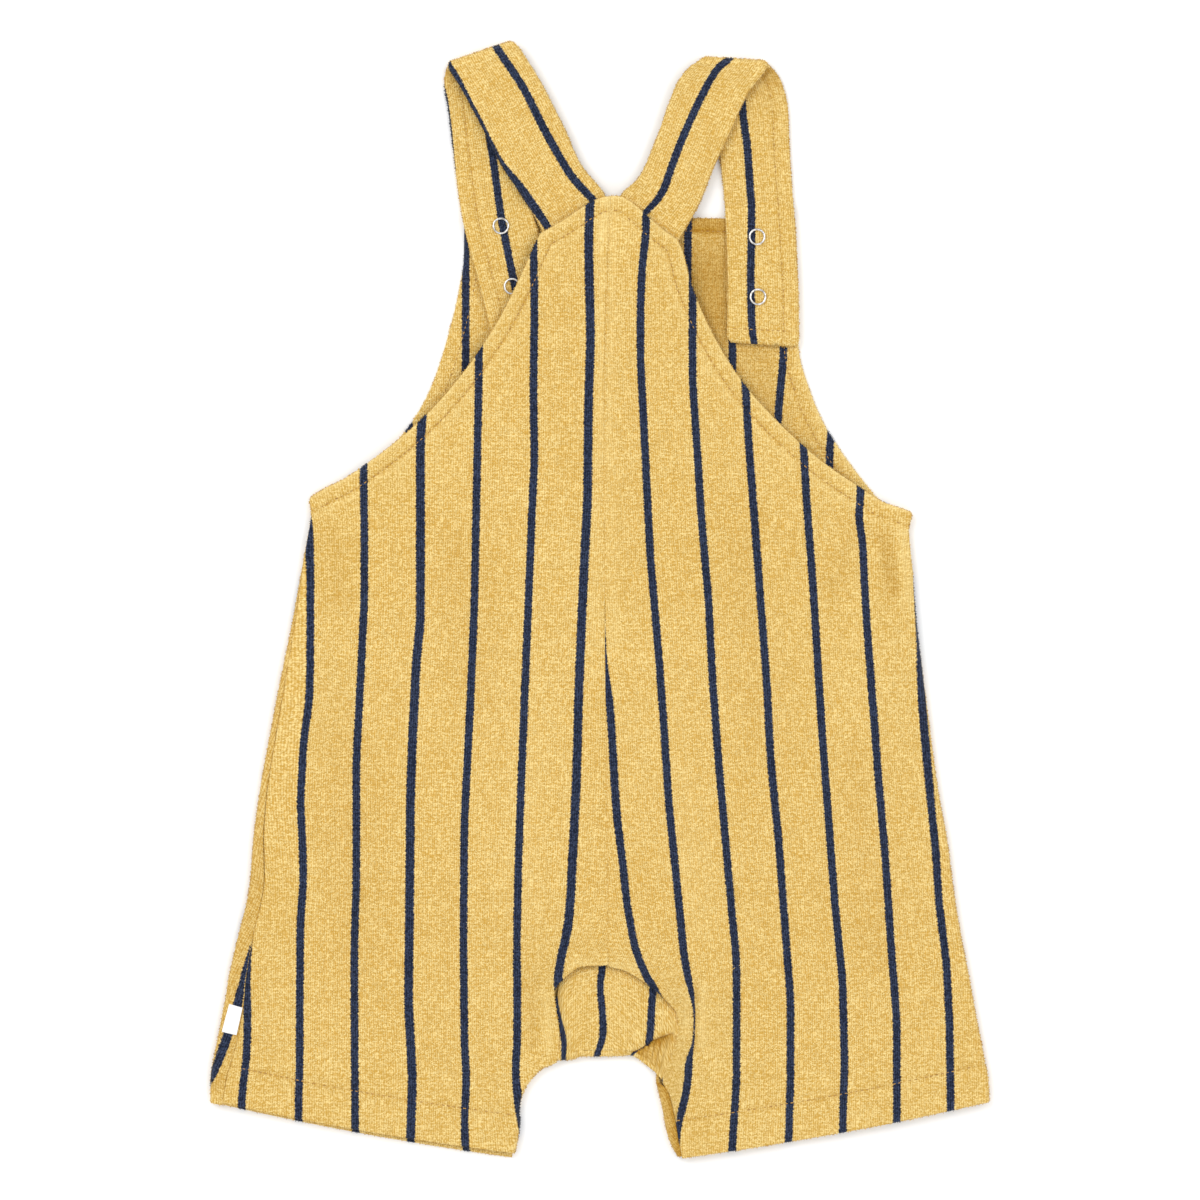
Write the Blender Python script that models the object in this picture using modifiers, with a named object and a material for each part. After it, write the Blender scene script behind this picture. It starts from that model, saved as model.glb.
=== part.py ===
"""Baby romper with shoulder straps, laid flat with its back uppermost.

+X is to the viewer's right, +Y towards the straps and +Z up from the surface it lies on. The origin is the
middle of the outline, on that surface. Every table is in millimetres. The object's length, hem to strap fold,
is 481 mm, and the widest place, at the hems, is 335 mm.

The front panel lies lowest, inside up. The two back halves lie over it, the straps' free ends between them, and
the crotch gusset closes the two from below. Each cloth piece is the middle surface of its wall, made from
courses (rows that run across the piece) and thickened by a Solidify modifier.
"""

import math

import bmesh
import bpy
import numpy as np

MM = 0.001

# Driving sizes, in millimetres.
CLOTH = 1.6  # one layer of towelling
STRAP = 2.8  # a strap is a flat tube: two layers pressed together
SEAM_GAP = 0.3  # between pieces that are sewn or rest on each other
HOLLOW = 2.0  # air between the front and the back
ROLL_RADIUS = (CLOTH + HOLLOW) / 2  # of the cloth's middle, where it rolls round from layer to layer
ROLL_SEAM_GAP = 0.7  # between two edges that meet on a roll, along its middle
CENTRE_GAP = 0.2  # each back half stops this far from the centre seam
FRONT_MID = CLOTH / 2
BACK_MID = CLOTH + HOLLOW + CLOTH / 2
STRAP_FOLD_RADIUS = 2.2  # of the strap's middle, where it turns over at the shoulder
SNAP_RADIUS = 3.4
SNAP_WIRE = 0.35
LABEL_THICKNESS = 0.5

# Mesh pitch.
BACK_LEFT_COLUMNS = (5, 6, 6)  # near the outer end, in the middle, near the inner end
BACK_RIGHT_COLUMNS = (7, 6, 3)
FRONT_LEFT_COLUMNS = (9, 6, 0)
FRONT_RIGHT_COLUMNS = (0, 6, 8)
GUSSET_COLUMNS = (0, 7, 9)
GUSSET_SECTIONS = 19
ROLL_ZONE = 12.0  # "near" is this far along the cloth
GUSSET_ROLL_ZONE = 17.0
ARC_STEPS = 12
DENSE_STEPS = 60
BEND_WEIGHT = 14.0  # millimetres of path that one radian of bend counts as


def table(columns, *rows):
    """A size chart: {column: [value of each row]}."""
    return {name: [row[i] for row in rows] for i, name in enumerate(columns.split())}


# Rails: the ends of the panels' courses (rows that run across), from the leg hem up. The front and the back
# share a rail wherever they meet at the outline. There x and y are the outline itself, roll is 1 where the cloth
# rolls round from one layer to the other, and seam is how far in along the back the seam lies, measured round
# the cloth from the roll's top: below 0 it lies down the roll or under it. Elsewhere roll is 0 and x and y are
# the panel's own edge. bow sags a course between its ends.
LEFT_SIDE = table(
    "x y seam roll bow",
    (-167.7, -215.4, 2.6, 1.0, 1.5),
    (-167.6, -206.0, 4.3, 1.0, 1.1),
    (-166.2, -196.5, 5.4, 1.0, 0.7),
    (-164.3, -187.5, 5.9, 1.0, 0.3),
    (-162.7, -179.0, 5.8, 1.0, 0),
    (-161.1, -171.0, 5.6, 1.0, 0),
    (-159.9, -163.0, 5.1, 1.0, 0),
    (-158.2, -155.0, 4.6, 1.0, 0),
    (-156.3, -147.0, 4.1, 1.0, 0),
    (-154.2, -138.5, 3.6, 1.0, 0),
    (-152.0, -130.0, 3.6, 1.0, 0),
    (-150.5, -120.4, 3.8, 1.0, 0),
    (-149.7, -110.0, 3.1, 1.0, 0),
    (-148.8, -100.0, 2.0, 1.0, 0),
    (-146.4, -82.0, 0.8, 1.0, 0),
    (-140.5, -50.0, -0.1, 1.0, 0),
    (-132.9, -12.0, -1.0, 1.0, 0),
    (-127.4, 17.0, -2.4, 0.75, 0),
    (-125.2, 36.0, -2.8, 0.05, 0),
    (-123.8, 43.8, 0, 0, 0),
    (-118.5, 47.9, 0, 0, 0),
)
RIGHT_SIDE = table(
    "x y seam roll bow",
    (167.3, -215.2, -6.0, 1.0, 2.4),
    (166.9, -207.0, -6.0, 1.0, 1.8),
    (165.7, -199.0, -6.0, 1.0, 1.2),
    (164.2, -191.0, -6.0, 1.0, 0.6),
    (162.7, -183.5, -6.0, 1.0, 0.2),
    (161.3, -176.0, -6.0, 1.0, 0),
    (160.0, -168.5, -6.0, 1.0, 0),
    (158.6, -161.0, -6.0, 1.0, 0),
    (157.1, -153.5, -6.0, 1.0, 0),
    (155.6, -146.0, -6.0, 1.0, 0),
    (154.3, -138.5, -6.0, 1.0, 0),
    (153.0, -131.0, -6.0, 1.0, 0),
    (152.0, -123.5, -6.0, 1.0, 0),
    (151.0, -116.0, -6.0, 1.0, 0),
    (150.1, -108.5, -6.0, 1.0, 0),
    (148.8, -100.0, -6.0, 1.0, 0),
    (145.5, -82.0, -6.0, 1.0, 0),
    (141.2, -50.0, -6.0, 1.0, 0),
    (136.4, -12.0, -6.0, 1.0, 0),
    (133.7, 14.0, -3.6, 0.7, 0),
    (133.3, 31.0, -2.8, 0.05, 0),
    (131.6, 38.7, 0, 0, 0),
    (120.9, 43.6, 0, 0, 0),
)
LEFT_LEG = table(
    "x y seam roll",
    (-36.9, -236.2, -6.0, 1.0),
    (-34.8, -226.0, -6.0, 1.0),
    (-34.5, -217.6, -6.0, 1.0),
    (-32.4, -210.6, -6.0, 1.0),
    (-28.4, -205.0, -6.0, 1.0),
    (-24.3, -201.1, -6.0, 1.0),
)
RIGHT_LEG = table(
    "x y seam roll",
    (33.4, -240.4, -0.6, 1.0),
    (30.0, -233.0, 1.2, 1.0),
    (28.2, -226.6, 2.0, 1.0),
    (26.9, -219.3, 1.8, 1.0),
    (25.6, -213.5, 1.6, 1.0),
    (24.7, -210.2, 0.6, 1.0),
)

# The back halves' own edges: along the gusset, and along the armhole up to the straps.
BACK_LEFT_GUSSET = table(
    "x y seam roll",
    (-21.3, -199.5, -6.0, 0.7),
    (-18.3, -196.2, -6.0, 0.1),
    (-17.3, -187.0, 0, 0),
    (-18.6, -177.5, 0, 0),
    (-19.6, -168.6, 0, 0),
    (-14.6, -162.0, 0, 0),
    (-7.4, -157.4, 0, 0),
)
BACK_RIGHT_GUSSET = table(
    "x y",
    (26.8, -205.6),
    (28.3, -201.0),
    (30.6, -195.6),
    (33.4, -185.4),
    (33.0, -178.4),
    (29.7, -173.6),
    (25.2, -169.0),
    (17.6, -163.4),
    (10.3, -159.2),
)
BACK_LEFT_ARMHOLE = table(
    "x y bow",
    (-110.6, 51.8, 0),
    (-95.0, 62.4, 0),
    (-76.1, 78.3, 0),
    (-57.2, 99.8, 0),
    (-42.6, 122.0, 0),
    (-33.5, 140.2, 0),
    (-28.0, 152.5, -0.6),
    (-25.6, 157.4, -1.2),
)
BACK_RIGHT_ARMHOLE = table(
    "x y bow",
    (110.1, 49.5, 0),
    (96.5, 58.8, 0),
    (78.3, 74.8, 0),
    (60.0, 95.5, 0),
    (46.5, 118.5, 0),
    (38.6, 137.5, 0),
    (35.8, 149.0, -1.5),
    (33.3, 154.8, -3.0),
)

# The front's own edges: along the gusset, then the armhole and the bib.
FRONT_LEFT_GUSSET = table(
    "x y",
    (-24.6, -196.6),
    (-19.8, -193.4),
    (-19.0, -188.6),
    (-17.0, -184.6),
    (-12.4, -182.2),
    (-7.5, -181.2),
    (-2.0, -181.0),
)
FRONT_RIGHT_GUSSET = table(
    "x y seam roll",
    (24.0, -207.4, -2.0, 1.0),
    (23.8, -205.2, -3.6, 0.9),
    (23.6, -202.0, -5.0, 0.3),
    (21.8, -197.0, 0, 0),
    (20.6, -191.0, 0, 0),
    (19.4, -186.0, 0, 0),
    (16.8, -182.8, 0, 0),
    (13.2, -181.2, 0, 0),
    (9.0, -181.0, 0, 0),
)
FRONT_LEFT_ARMHOLE = table(
    "x y",
    (-111.5, 50.3),
    (-95.0, 61.0),
    (-81.5, 76.0),
    (-73.0, 91.0),
    (-66.2, 111.0),
    (-61.0, 132.0),
    (-58.6, 148.0),
    (-58.5, 160.8),
)
FRONT_RIGHT_ARMHOLE = table(
    "x y",
    (114.0, 50.5),
    (104.1, 63.6),
    (96.3, 76.1),
    (89.9, 91.6),
    (85.6, 108.0),
    (84.9, 128.0),
    (84.8, 146.0),
    (84.0, 162.5),
)
FRONT_HEM_SHIFT = {"left": ((0.0, -0.3), (-0.6, -4.2)), "right": ((0.0, 0.8), (0.0, 0.8))}  # at the side, the leg

# The middle of both layers, from the crotch up, and the courses made between one row and the next.
CENTRE = table(
    "back_x back_y front_x front_y steps",
    (3.4, -156.6, 3.4, -181.0, 2),
    (3.4, -129.0, 3.4, -150.5, 3),
    (3.4, -77.4, 3.4, -90.3, 3),
    (2.6, -17.2, 2.6, -23.7, 3),
    (1.7, 30.0, 1.7, 28.0, 2),
    (1.7, 54.0, 1.7, 52.0, 1),
    (1.7, 62.0, 1.7, 60.0, 1),
    (1.7, 69.0, 1.7, 67.0, 1),
    (1.7, 77.0, 1.7, 75.0, 1),
    (1.7, 88.0, 1.7, 86.0, 1),
    (1.8, 100.5, 1.7, 98.0, 2),
    (2.1, 117.0, 1.7, 112.0, 2),
    (2.7, 136.0, 1.7, 127.0, 1),
    (3.4, 153.0, 1.7, 142.0, 1),
    (4.2, 166.0, 1.7, 154.0, 1),
    (4.7, 173.4, 1.7, 164.3, 0),
)

# The gusset's sections, from the left leg to the right. Each starts under the back's seam (top), crowns, and
# reaches the lip where the fold ends. On the right a low wing then runs on to the edge. There it turns under and
# runs back (over) along the floor to the front's seam.
GUSSET = table(
    "top_x top_y lip_x lip_y edge_x edge_y turn over crown lip_z edge_z",
    (-18.7, -171.0, -16.6, -187.0, -17.1, -197.9, 180, 7.0, 0.0, 3.7, 3.9),
    (-16.8, -161.4, -12.6, -194.0, -12.6, -197.9, 180, 9.5, 1.6, 4.3, 4.2),
    (-9.2, -155.8, -7.8, -192.6, -7.8, -196.5, 180, 10.5, 2.6, 4.6, 4.4),
    (2.8, -153.8, 0.8, -192.6, 0.8, -196.4, 180, 11.0, 3.0, 4.6, 4.4),
    (12.4, -157.2, 8.0, -192.4, 8.0, -196.3, 180, 11.0, 3.0, 4.6, 4.4),
    (19.2, -161.2, 12.6, -192.2, 12.7, -195.9, 180, 10.0, 2.8, 4.6, 4.1),
    (24.2, -164.8, 15.8, -192.2, 15.4, -196.8, 180, 5.0, 2.5, 4.6, 3.7),
    (28.2, -168.0, 19.4, -190.2, 18.5, -198.9, 180, 0.6, 2.1, 4.5, 3.4),
    (31.0, -171.0, 22.8, -188.4, 20.6, -200.5, 130, 0.0, 1.7, 4.3, 3.4),
    (33.4, -174.2, 26.6, -187.0, 22.7, -202.0, 80, 0.0, 1.1, 4.0, 3.4),
    (35.3, -178.2, 31.0, -186.4, 25.0, -203.3, 35, 0.0, 0.5, 3.5, 3.2),
    (36.2, -183.2, 35.2, -191.0, 27.8, -204.4, 0, 0.0, 0.0, 3.1, 3.1),
)
GUSSET_TOP_Z = 2.9
WING_DROP = 2.2  # the run over which the fold drops to the wing

# Soft ridges (+) and troughs (-) of the back, each along a line from (x1, y1) to (x2, y2).
FOLDS = table(
    "x1 y1 x2 y2 width height",
    (-19.0, -166.0, -8.0, -157.0, 6.0, 1.2),  # over the gusset's seam
    (-8.0, -157.0, 3.0, -155.0, 6.0, 0.6),
    (3.0, -155.0, 27.5, -169.0, 6.0, 1.2),
    (27.5, -169.0, 35.0, -184.0, 6.0, 0.8),
    (35.0, -184.0, 28.0, -204.0, 6.0, 1.2),  # beside the gusset, right leg
    (41.5, -166.0, 41.0, -193.0, 2.6, -1.3),  # the crease in the right thigh
    (-29.0, -163.0, -30.0, -190.0, 5.0, -0.8),  # the hollow in the left thigh
    (-128.0, -40.0, -78.0, 18.0, 12.0, 0.8),
    (-134.0, -84.0, -112.0, -52.0, 10.0, -0.7),
    (116.0, 26.0, 95.0, -16.0, 8.0, -0.8),
    (126.0, 12.0, 122.0, -40.0, 8.0, 0.6),
    (-114.0, -214.0, -108.0, -172.0, 10.0, 0.7),
    (-70.0, -224.0, -66.0, -190.0, 9.0, -0.6),
    (120.0, -216.0, 112.0, -165.0, 12.0, 0.8),
    (82.0, -230.0, 78.0, -190.0, 9.0, -0.7),
    (-60.0, -60.0, -52.0, -120.0, 16.0, 0.6),
    (62.0, -30.0, 70.0, -90.0, 16.0, 0.6),
    (3.2, -150.0, 1.7, 60.0, 2.4, -0.7),  # the centre seam
    (-128.0, 36.0, -116.0, 48.0, 11.0, -1.5),  # the layers come together under the arms
    (136.0, 28.0, 124.0, 42.0, 11.0, -1.5),
    (-36.5, 134.0, -30.0, 112.0, 25.0, 2.6),  # over the left strap's hidden end
)
TIP_RISE = 2.6  # the back's tip lies on the straps' roots
TIP_RISE_FROM = 112.0
TIP_RISE_TO = 146.0

# Each strap's middle line, from its root under the back's tip to the shoulder fold, and from there down to its
# free end. across is the direction from its left edge to its right, in degrees from +X.
LEFT_STRAP_UP = table(
    "x y z across width",
    (-10.4, 158.2, 4.4, 27.0, 27.5),
    (-11.3, 165.6, 4.4, 28.5, 31.4),
    (-19.8, 180.6, 5.0, 31.0, 28.4),
    (-29.9, 197.0, 5.2, 31.0, 29.7),
    (-39.5, 215.0, 5.5, 29.0, 31.0),
    (-45.6, 226.2, 5.7, 25.0, 30.8),
    (-51.2, 234.0, 5.8, 18.5, 30.9),
)
LEFT_STRAP_DOWN = table(
    "x y z across width",
    (-51.2, 234.0, 1.4, 18.5, 30.9),
    (-51.6, 225.8, 1.5, 12.0, 30.8),
    (-49.9, 210.7, 1.4, 6.0, 30.6),
    (-47.3, 189.2, 1.4, 6.0, 30.6),
    (-45.4, 172.4, 1.4, 8.0, 30.0),
    (-43.8, 164.4, 3.3, 10.0, 30.2),
    (-41.3, 154.8, 3.3, 13.0, 30.6),
    (-35.7, 133.3, 3.3, 14.0, 30.6),
    (-30.1, 110.5, 3.3, 14.0, 30.6),
)
RIGHT_STRAP_UP = table(
    "x y z across width",
    (18.8, 157.0, 4.4, -34.0, 28.5),
    (21.7, 164.6, 4.4, -36.0, 31.6),
    (29.7, 175.9, 4.6, -29.0, 28.3),
    (36.3, 191.4, 4.9, -27.0, 27.7),
    (42.6, 206.8, 5.3, -22.0, 29.1),
    (48.8, 220.6, 5.7, -12.0, 30.1),
    (57.2, 230.8, 5.8, -5.0, 30.5),
)
RIGHT_STRAP_DOWN = table(
    "x y z across width",
    (57.2, 230.8, 1.4, -5.0, 30.5),
    (62.3, 221.9, 1.5, -2.0, 30.5),
    (65.1, 210.7, 1.4, 0.0, 30.5),
    (66.3, 193.5, 1.4, 1.0, 30.2),
    (68.2, 174.0, 1.5, 0.0, 29.5),
    (68.7, 166.4, 3.3, 0.0, 29.6),
    (69.4, 150.5, 3.3, 0.0, 30.0),
    (70.1, 129.0, 3.3, -1.0, 30.8),
    (70.1, 110.5, 3.3, -4.0, 31.2),
)
STRAP_SECTIONS = 2  # between two rows of a strap's table
STRAP_CORNER = 0.9  # how far the section's rounded edge reaches in from its side

# The snap rings, each on the middle of a strap.
SNAPS = {
    "snap_left_upper": (-42.6, 160.8),
    "snap_left_lower": (-37.8, 134.8),
    "snap_right_upper": (67.5, 156.1),
    "snap_right_lower": (67.9, 130.3),
}

# The blank flag label sewn into the left side seam: its corners, clockwise from the top at the seam.
LABEL = table(
    "x y",
    (-153.6, -175.2),
    (-156.2, -187.0),
    (-162.6, -185.6),
    (-159.4, -173.6),
)

COLOURS = {
    "towelling": ((0.72, 0.50, 0.14, 1), 0.95, 0.0),
    "snap": ((0.80, 0.80, 0.78, 1), 0.35, 0.9),
    "label": ((0.88, 0.87, 0.84, 1), 0.80, 0.0),
}


def smooth(values, t):
    """Values at fractional row numbers t, on a curve through every row that never overshoots one."""
    v = np.asarray(values, float)
    step = np.diff(v)
    slope = np.zeros_like(v)
    slope[0], slope[-1] = step[0], step[-1]
    before, after = step[:-1], step[1:]
    same_way = before * after > 0
    total = np.where(same_way, before + after, 1.0)
    slope[1:-1] = np.where(same_way, 2 * before * after / total, 0.0)
    i = np.clip(np.floor(t).astype(int), 0, len(v) - 2)
    u = t - i
    return (
        v[i] * (1 + 2 * u) * (1 - u) ** 2
        + slope[i] * u * (1 - u) ** 2
        + v[i + 1] * u * u * (3 - 2 * u)
        + slope[i + 1] * u * u * (u - 1)
    )


def smoothstep(low, high, value):
    t = np.clip((value - low) / (high - low), 0, 1)
    return t * t * (3 - 2 * t)


def back_level(x, y):
    """Height of the middle of the back's wall."""
    z = BACK_MID + TIP_RISE * smoothstep(TIP_RISE_FROM, TIP_RISE_TO, y)
    for x1, y1, x2, y2, width, height in zip(*FOLDS.values()):
        along = ((x - x1) * (x2 - x1) + (y - y1) * (y2 - y1)) / ((x2 - x1) ** 2 + (y2 - y1) ** 2)
        along = np.clip(along, 0, 1)
        away = np.hypot(x - x1 - along * (x2 - x1), y - y1 - along * (y2 - y1))
        z = z + height * np.exp(-((away / width) ** 2))
    return z


def front_level(x, y):
    """Height of the middle of the front's wall, which lies flat."""
    return FRONT_MID + 0 * x * y


def rail(*parts):
    """One rail out of several size charts, with 0 for any column that a chart leaves out."""
    columns = ("x", "y", "seam", "roll", "bow")
    return {key: [v for part in parts for v in part.get(key, [0.0] * len(part["x"]))] for key in columns}


def centre_rail(layer):
    return {"x": CENTRE[layer + "_x"], "y": CENTRE[layer + "_y"]}


def stations(rows):
    """Fractional row numbers for the courses of a panel with this many rows, the last of them the centre's."""
    below = rows - len(CENTRE["steps"])
    marks = [float(i) for i in range(below)]
    for i, steps in enumerate(CENTRE["steps"]):
        marks += [below + i + k / max(steps, 1) for k in range(max(steps, 1))]
    return marks


def end_of(ends, t, layer):
    """One end of a course: (x, y), how far in the flat part starts, how far the end turns (radians) and how far
    it then runs back along the other layer."""
    size = {key: float(smooth(values, t)) for key, values in ends.items()}
    radius = (back_level(size["x"], size["y"]) - FRONT_MID) / 2
    half_way = math.pi * ROLL_RADIUS
    from_top = -size["seam"]  # where the seam lies round the roll
    reach = from_top if layer == "back" else half_way - from_top
    reach -= ROLL_SEAM_GAP / 2
    inset = radius + CLOTH / 2 + max(-reach, 0.0)
    turn = min(max(reach, 0.0), half_way) / ROLL_RADIUS
    over = max(reach - half_way, 0.0)
    roll = max(size["roll"], 0.0)
    return np.array([size["x"], size["y"]]), inset * roll, turn * roll, over * roll


def turned_end(end, inward, level, far_level):
    """Points of one end of a course, from its tip inwards, and where its flat part starts."""
    place, inset, turn, over = end
    start = place + inward * inset
    base = level(*start)
    radius = (far_level(*start) - base) / 2
    points = []
    for step in range(ARC_STEPS, -1, -1):
        phi = turn * step / ARC_STEPS
        plan = start - inward * abs(radius) * math.sin(phi)
        points.append((*plan, base + radius * (1 - math.cos(phi))))
    for step in range(1, 5):
        if over > 0.05:
            plan = start + inward * over * step / 4
            points.insert(0, (*plan, far_level(*plan)))
    return points, start


def course(out_rail, in_rail, t, layer, counts):
    """One course of a panel as 3-D points, from its outer end to its inner end."""
    level, far_level = (back_level, front_level) if layer == "back" else (front_level, back_level)
    out_end = end_of(out_rail, t, layer)
    in_end = end_of(in_rail, t, layer)
    direction = in_end[0] - out_end[0]
    direction /= np.linalg.norm(direction)
    first, begin = turned_end(out_end, direction, level, far_level)
    last, finish = turned_end(in_end, -direction, level, far_level)
    bow = float(smooth(out_rail["bow"], t))
    middle = []
    for k in range(1, DENSE_STEPS):
        u = k / DENSE_STEPS
        x, y = begin + (finish - begin) * u
        y -= bow * 4 * u * (1 - u)
        middle.append((x, y, level(x, y)))
    return spaced(np.array(first + middle + last[::-1]), counts)


def half_panel(out_rail, in_rail, layer, counts):
    return [course(out_rail, in_rail, t, layer, counts) for t in stations(len(out_rail["x"]))]


def spaced(path, counts, zone=ROLL_ZONE):
    """The path in counts = (near the first end, in the middle, near the last end) steps, closer together where
    it bends."""
    apart = np.linalg.norm(np.diff(path, axis=0), axis=1) > 1e-4
    path = path[np.concatenate([[True], apart])]
    runs = np.diff(path, axis=0)
    lengths = np.linalg.norm(runs, axis=1)
    place = np.concatenate([[0], np.cumsum(lengths)])
    heading = runs / lengths[:, None]
    bend = np.zeros(len(path))
    bend[1:-1] = np.arccos(np.clip((heading[1:] * heading[:-1]).sum(axis=1), -1, 1))
    cost = np.concatenate([[0], np.cumsum(lengths + BEND_WEIGHT * (bend[1:] + bend[:-1]) / 2)])
    near = [min(zone, place[-1] * 0.4) if count else 0.0 for count in (counts[0], counts[2])]
    ends = np.interp([0, near[0], place[-1] - near[1], place[-1]], place, cost)
    marks = [cost[:1]]
    for low, high, count in zip(ends, ends[1:], counts):
        marks.append(np.linspace(low, high, count + 1)[1:])
    marks = np.concatenate(marks)
    return np.stack([np.interp(marks, cost, path[:, k]) for k in range(3)], axis=1)


def grid_into(bm, points):
    """Adds a Blender grid to bm and moves its corners to points[row][column], in millimetres."""
    rows, columns = len(points), len(points[0])
    made = bmesh.ops.create_grid(bm, x_segments=columns - 1, y_segments=rows - 1, size=0.5)
    for vert in made["verts"]:
        column = round((vert.co.x + 0.5) * (columns - 1))
        row = round((vert.co.y + 0.5) * (rows - 1))
        vert.co = [value * MM for value in points[row][column]]


def finish_object(name, bm, collection, material, thickness=None):
    """Makes bm an object of its own, facing up, with a Solidify wall if it is an open sheet."""
    bmesh.ops.remove_doubles(bm, verts=bm.verts, dist=0.01 * MM)
    bmesh.ops.recalc_face_normals(bm, faces=bm.faces)
    mesh = bpy.data.meshes.new(name)
    bm.to_mesh(mesh)
    bm.free()
    obj = bpy.data.objects.new(name, mesh)
    collection.objects.link(obj)
    mesh.materials.append(material)
    mesh.shade_smooth()
    if thickness:
        wall = obj.modifiers.new("wall", "SOLIDIFY")
        wall.thickness = thickness * MM
        wall.offset = 0
        wall.use_even_offset = True
    return obj


def make_back_half(name, out_rail, in_rail, counts, collection, material):
    away = -CENTRE_GAP if out_rail["x"][0] < 0 else CENTRE_GAP
    in_rail = dict(in_rail, x=[x + away for x in in_rail["x"]])
    bm = bmesh.new()
    grid_into(bm, half_panel(out_rail, in_rail, "back", counts))
    return finish_object(name, bm, collection, material, CLOTH)


def shifted_hem(ends, shift):
    """The rail with its first row moved."""
    return dict(ends, x=[ends["x"][0] + shift[0]] + ends["x"][1:], y=[ends["y"][0] + shift[1]] + ends["y"][1:])


def make_front(collection, material):
    """The front is one piece: two halves that share the centre line above the crotch."""
    bm = bmesh.new()
    for side, out_rail, in_rail, counts in (
        (
            "left",
            rail(LEFT_SIDE, FRONT_LEFT_ARMHOLE),
            rail(LEFT_LEG, FRONT_LEFT_GUSSET, centre_rail("front")),
            FRONT_LEFT_COLUMNS,
        ),
        (
            "right",
            rail(RIGHT_SIDE, FRONT_RIGHT_ARMHOLE),
            rail(RIGHT_LEG, FRONT_RIGHT_GUSSET, centre_rail("front")),
            FRONT_RIGHT_COLUMNS,
        ),
    ):
        out_rail = shifted_hem(out_rail, FRONT_HEM_SHIFT[side][0])
        in_rail = shifted_hem(in_rail, FRONT_HEM_SHIFT[side][1])
        grid_into(bm, half_panel(out_rail, in_rail, "front", counts))
    return finish_object("front", bm, collection, material, CLOTH)


def gusset_section(t):
    """One section of the gusset, from its seam with the back to its seam with the front."""
    size = {key: float(smooth(values, t)) for key, values in GUSSET.items()}
    top = np.array([size["top_x"], size["top_y"]])
    lip = np.array([size["lip_x"], size["lip_y"]])
    edge = np.array([size["edge_x"], size["edge_y"]])
    heading = (edge - top) / np.linalg.norm(edge - top)
    angle = math.radians(size["turn"])
    radius = (size["edge_z"] - FRONT_MID) / 2
    start = edge - heading * (radius + CLOTH / 2) * math.sin(min(angle, math.pi / 2))
    path = []
    for k in range(DENSE_STEPS):
        u = k / DENSE_STEPS
        rise = GUSSET_TOP_Z + (size["lip_z"] - GUSSET_TOP_Z) * smoothstep(0.05, 0.8, u)
        path.append((*(top + (lip - top) * u), rise + size["crown"] * math.sin(math.pi * u**0.8) ** 2 * 0.5))
    run = start - lip
    length = np.linalg.norm(run)
    for k in range(13):
        u = k / 12
        drop = smoothstep(0.0, min(WING_DROP, length), u * length)
        path.append((*(lip + run * u), size["lip_z"] + (size["edge_z"] - size["lip_z"]) * drop))
    for step in range(1, ARC_STEPS + 1):
        phi = angle * step / ARC_STEPS
        if phi > 0.01:
            plan = start + heading * radius * math.sin(phi)
            path.append((*plan, size["edge_z"] - radius * (1 - math.cos(phi))))
    end = np.array(path[-1])
    for step in range(1, 5):
        if size["over"] > 0.1:
            path.append((*(end[:2] - heading * size["over"] * step / 4), FRONT_MID))
    return np.array(path)


def make_gusset(collection, material):
    marks = np.linspace(0, len(GUSSET["top_x"]) - 1, GUSSET_SECTIONS)
    sections = [spaced(gusset_section(t), GUSSET_COLUMNS, GUSSET_ROLL_ZONE) for t in marks]
    bm = bmesh.new()
    grid_into(bm, sections)
    return finish_object("gusset", bm, collection, material, CLOTH)


def strap_stations(up, down):
    """(centre, across angle, width) along a strap, with the half circle where it turns over."""
    rows = {key: smooth(up[key], np.linspace(0, len(up["x"]) - 1, STRAP_SECTIONS * (len(up["x"]) - 1) + 1)) for key in up}
    fold_at = np.array([up["x"][-1], up["y"][-1]])
    fold_line = math.radians(up["across"][-1])
    outward = np.array([-math.sin(fold_line), math.cos(fold_line)])
    before = []
    for x, y, z, across, width in zip(*rows.values()):
        if np.dot(np.array([x, y]) - fold_at, outward) < -STRAP_FOLD_RADIUS - 1.2:
            before.append(((x, y, z), across, width))
    arc = []
    middle_z = (up["z"][-1] + down["z"][0]) / 2
    for step in range(9):
        phi = math.pi * step / 8
        plan = fold_at + outward * STRAP_FOLD_RADIUS * (math.sin(phi) - 1)
        height = middle_z + STRAP_FOLD_RADIUS * math.cos(phi)
        arc.append(((*plan, height), up["across"][-1], up["width"][-1]))
    rows = {key: smooth(down[key], np.linspace(0, len(down["x"]) - 1, STRAP_SECTIONS * (len(down["x"]) - 1) + 1)) for key in down}
    after = []
    for x, y, z, across, width in zip(*rows.values()):
        if np.dot(np.array([x, y]) - fold_at, outward) < -STRAP_FOLD_RADIUS - 1.2:
            after.append(((x, y, z), across, width))
    return before + arc + after


def strap_section(centre, across, width, heading):
    """A flat ring round the strap: a thin rectangle with rounded edges."""
    side = np.array([math.cos(math.radians(across)), math.sin(math.radians(across)), 0.0])
    normal = np.cross(side, heading)
    normal /= np.linalg.norm(normal)
    half, thick = width / 2, STRAP / 2
    outline = [
        (-half, 0.0), (-half + STRAP_CORNER, -thick), (-half / 3, -thick), (half / 3, -thick), (half - STRAP_CORNER, -thick),
        (half, 0.0), (half - STRAP_CORNER, thick), (half / 3, thick), (-half / 3, thick), (-half + STRAP_CORNER, thick),
    ]
    return [np.array(centre) + side * a + normal * b for a, b in outline]


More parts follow.
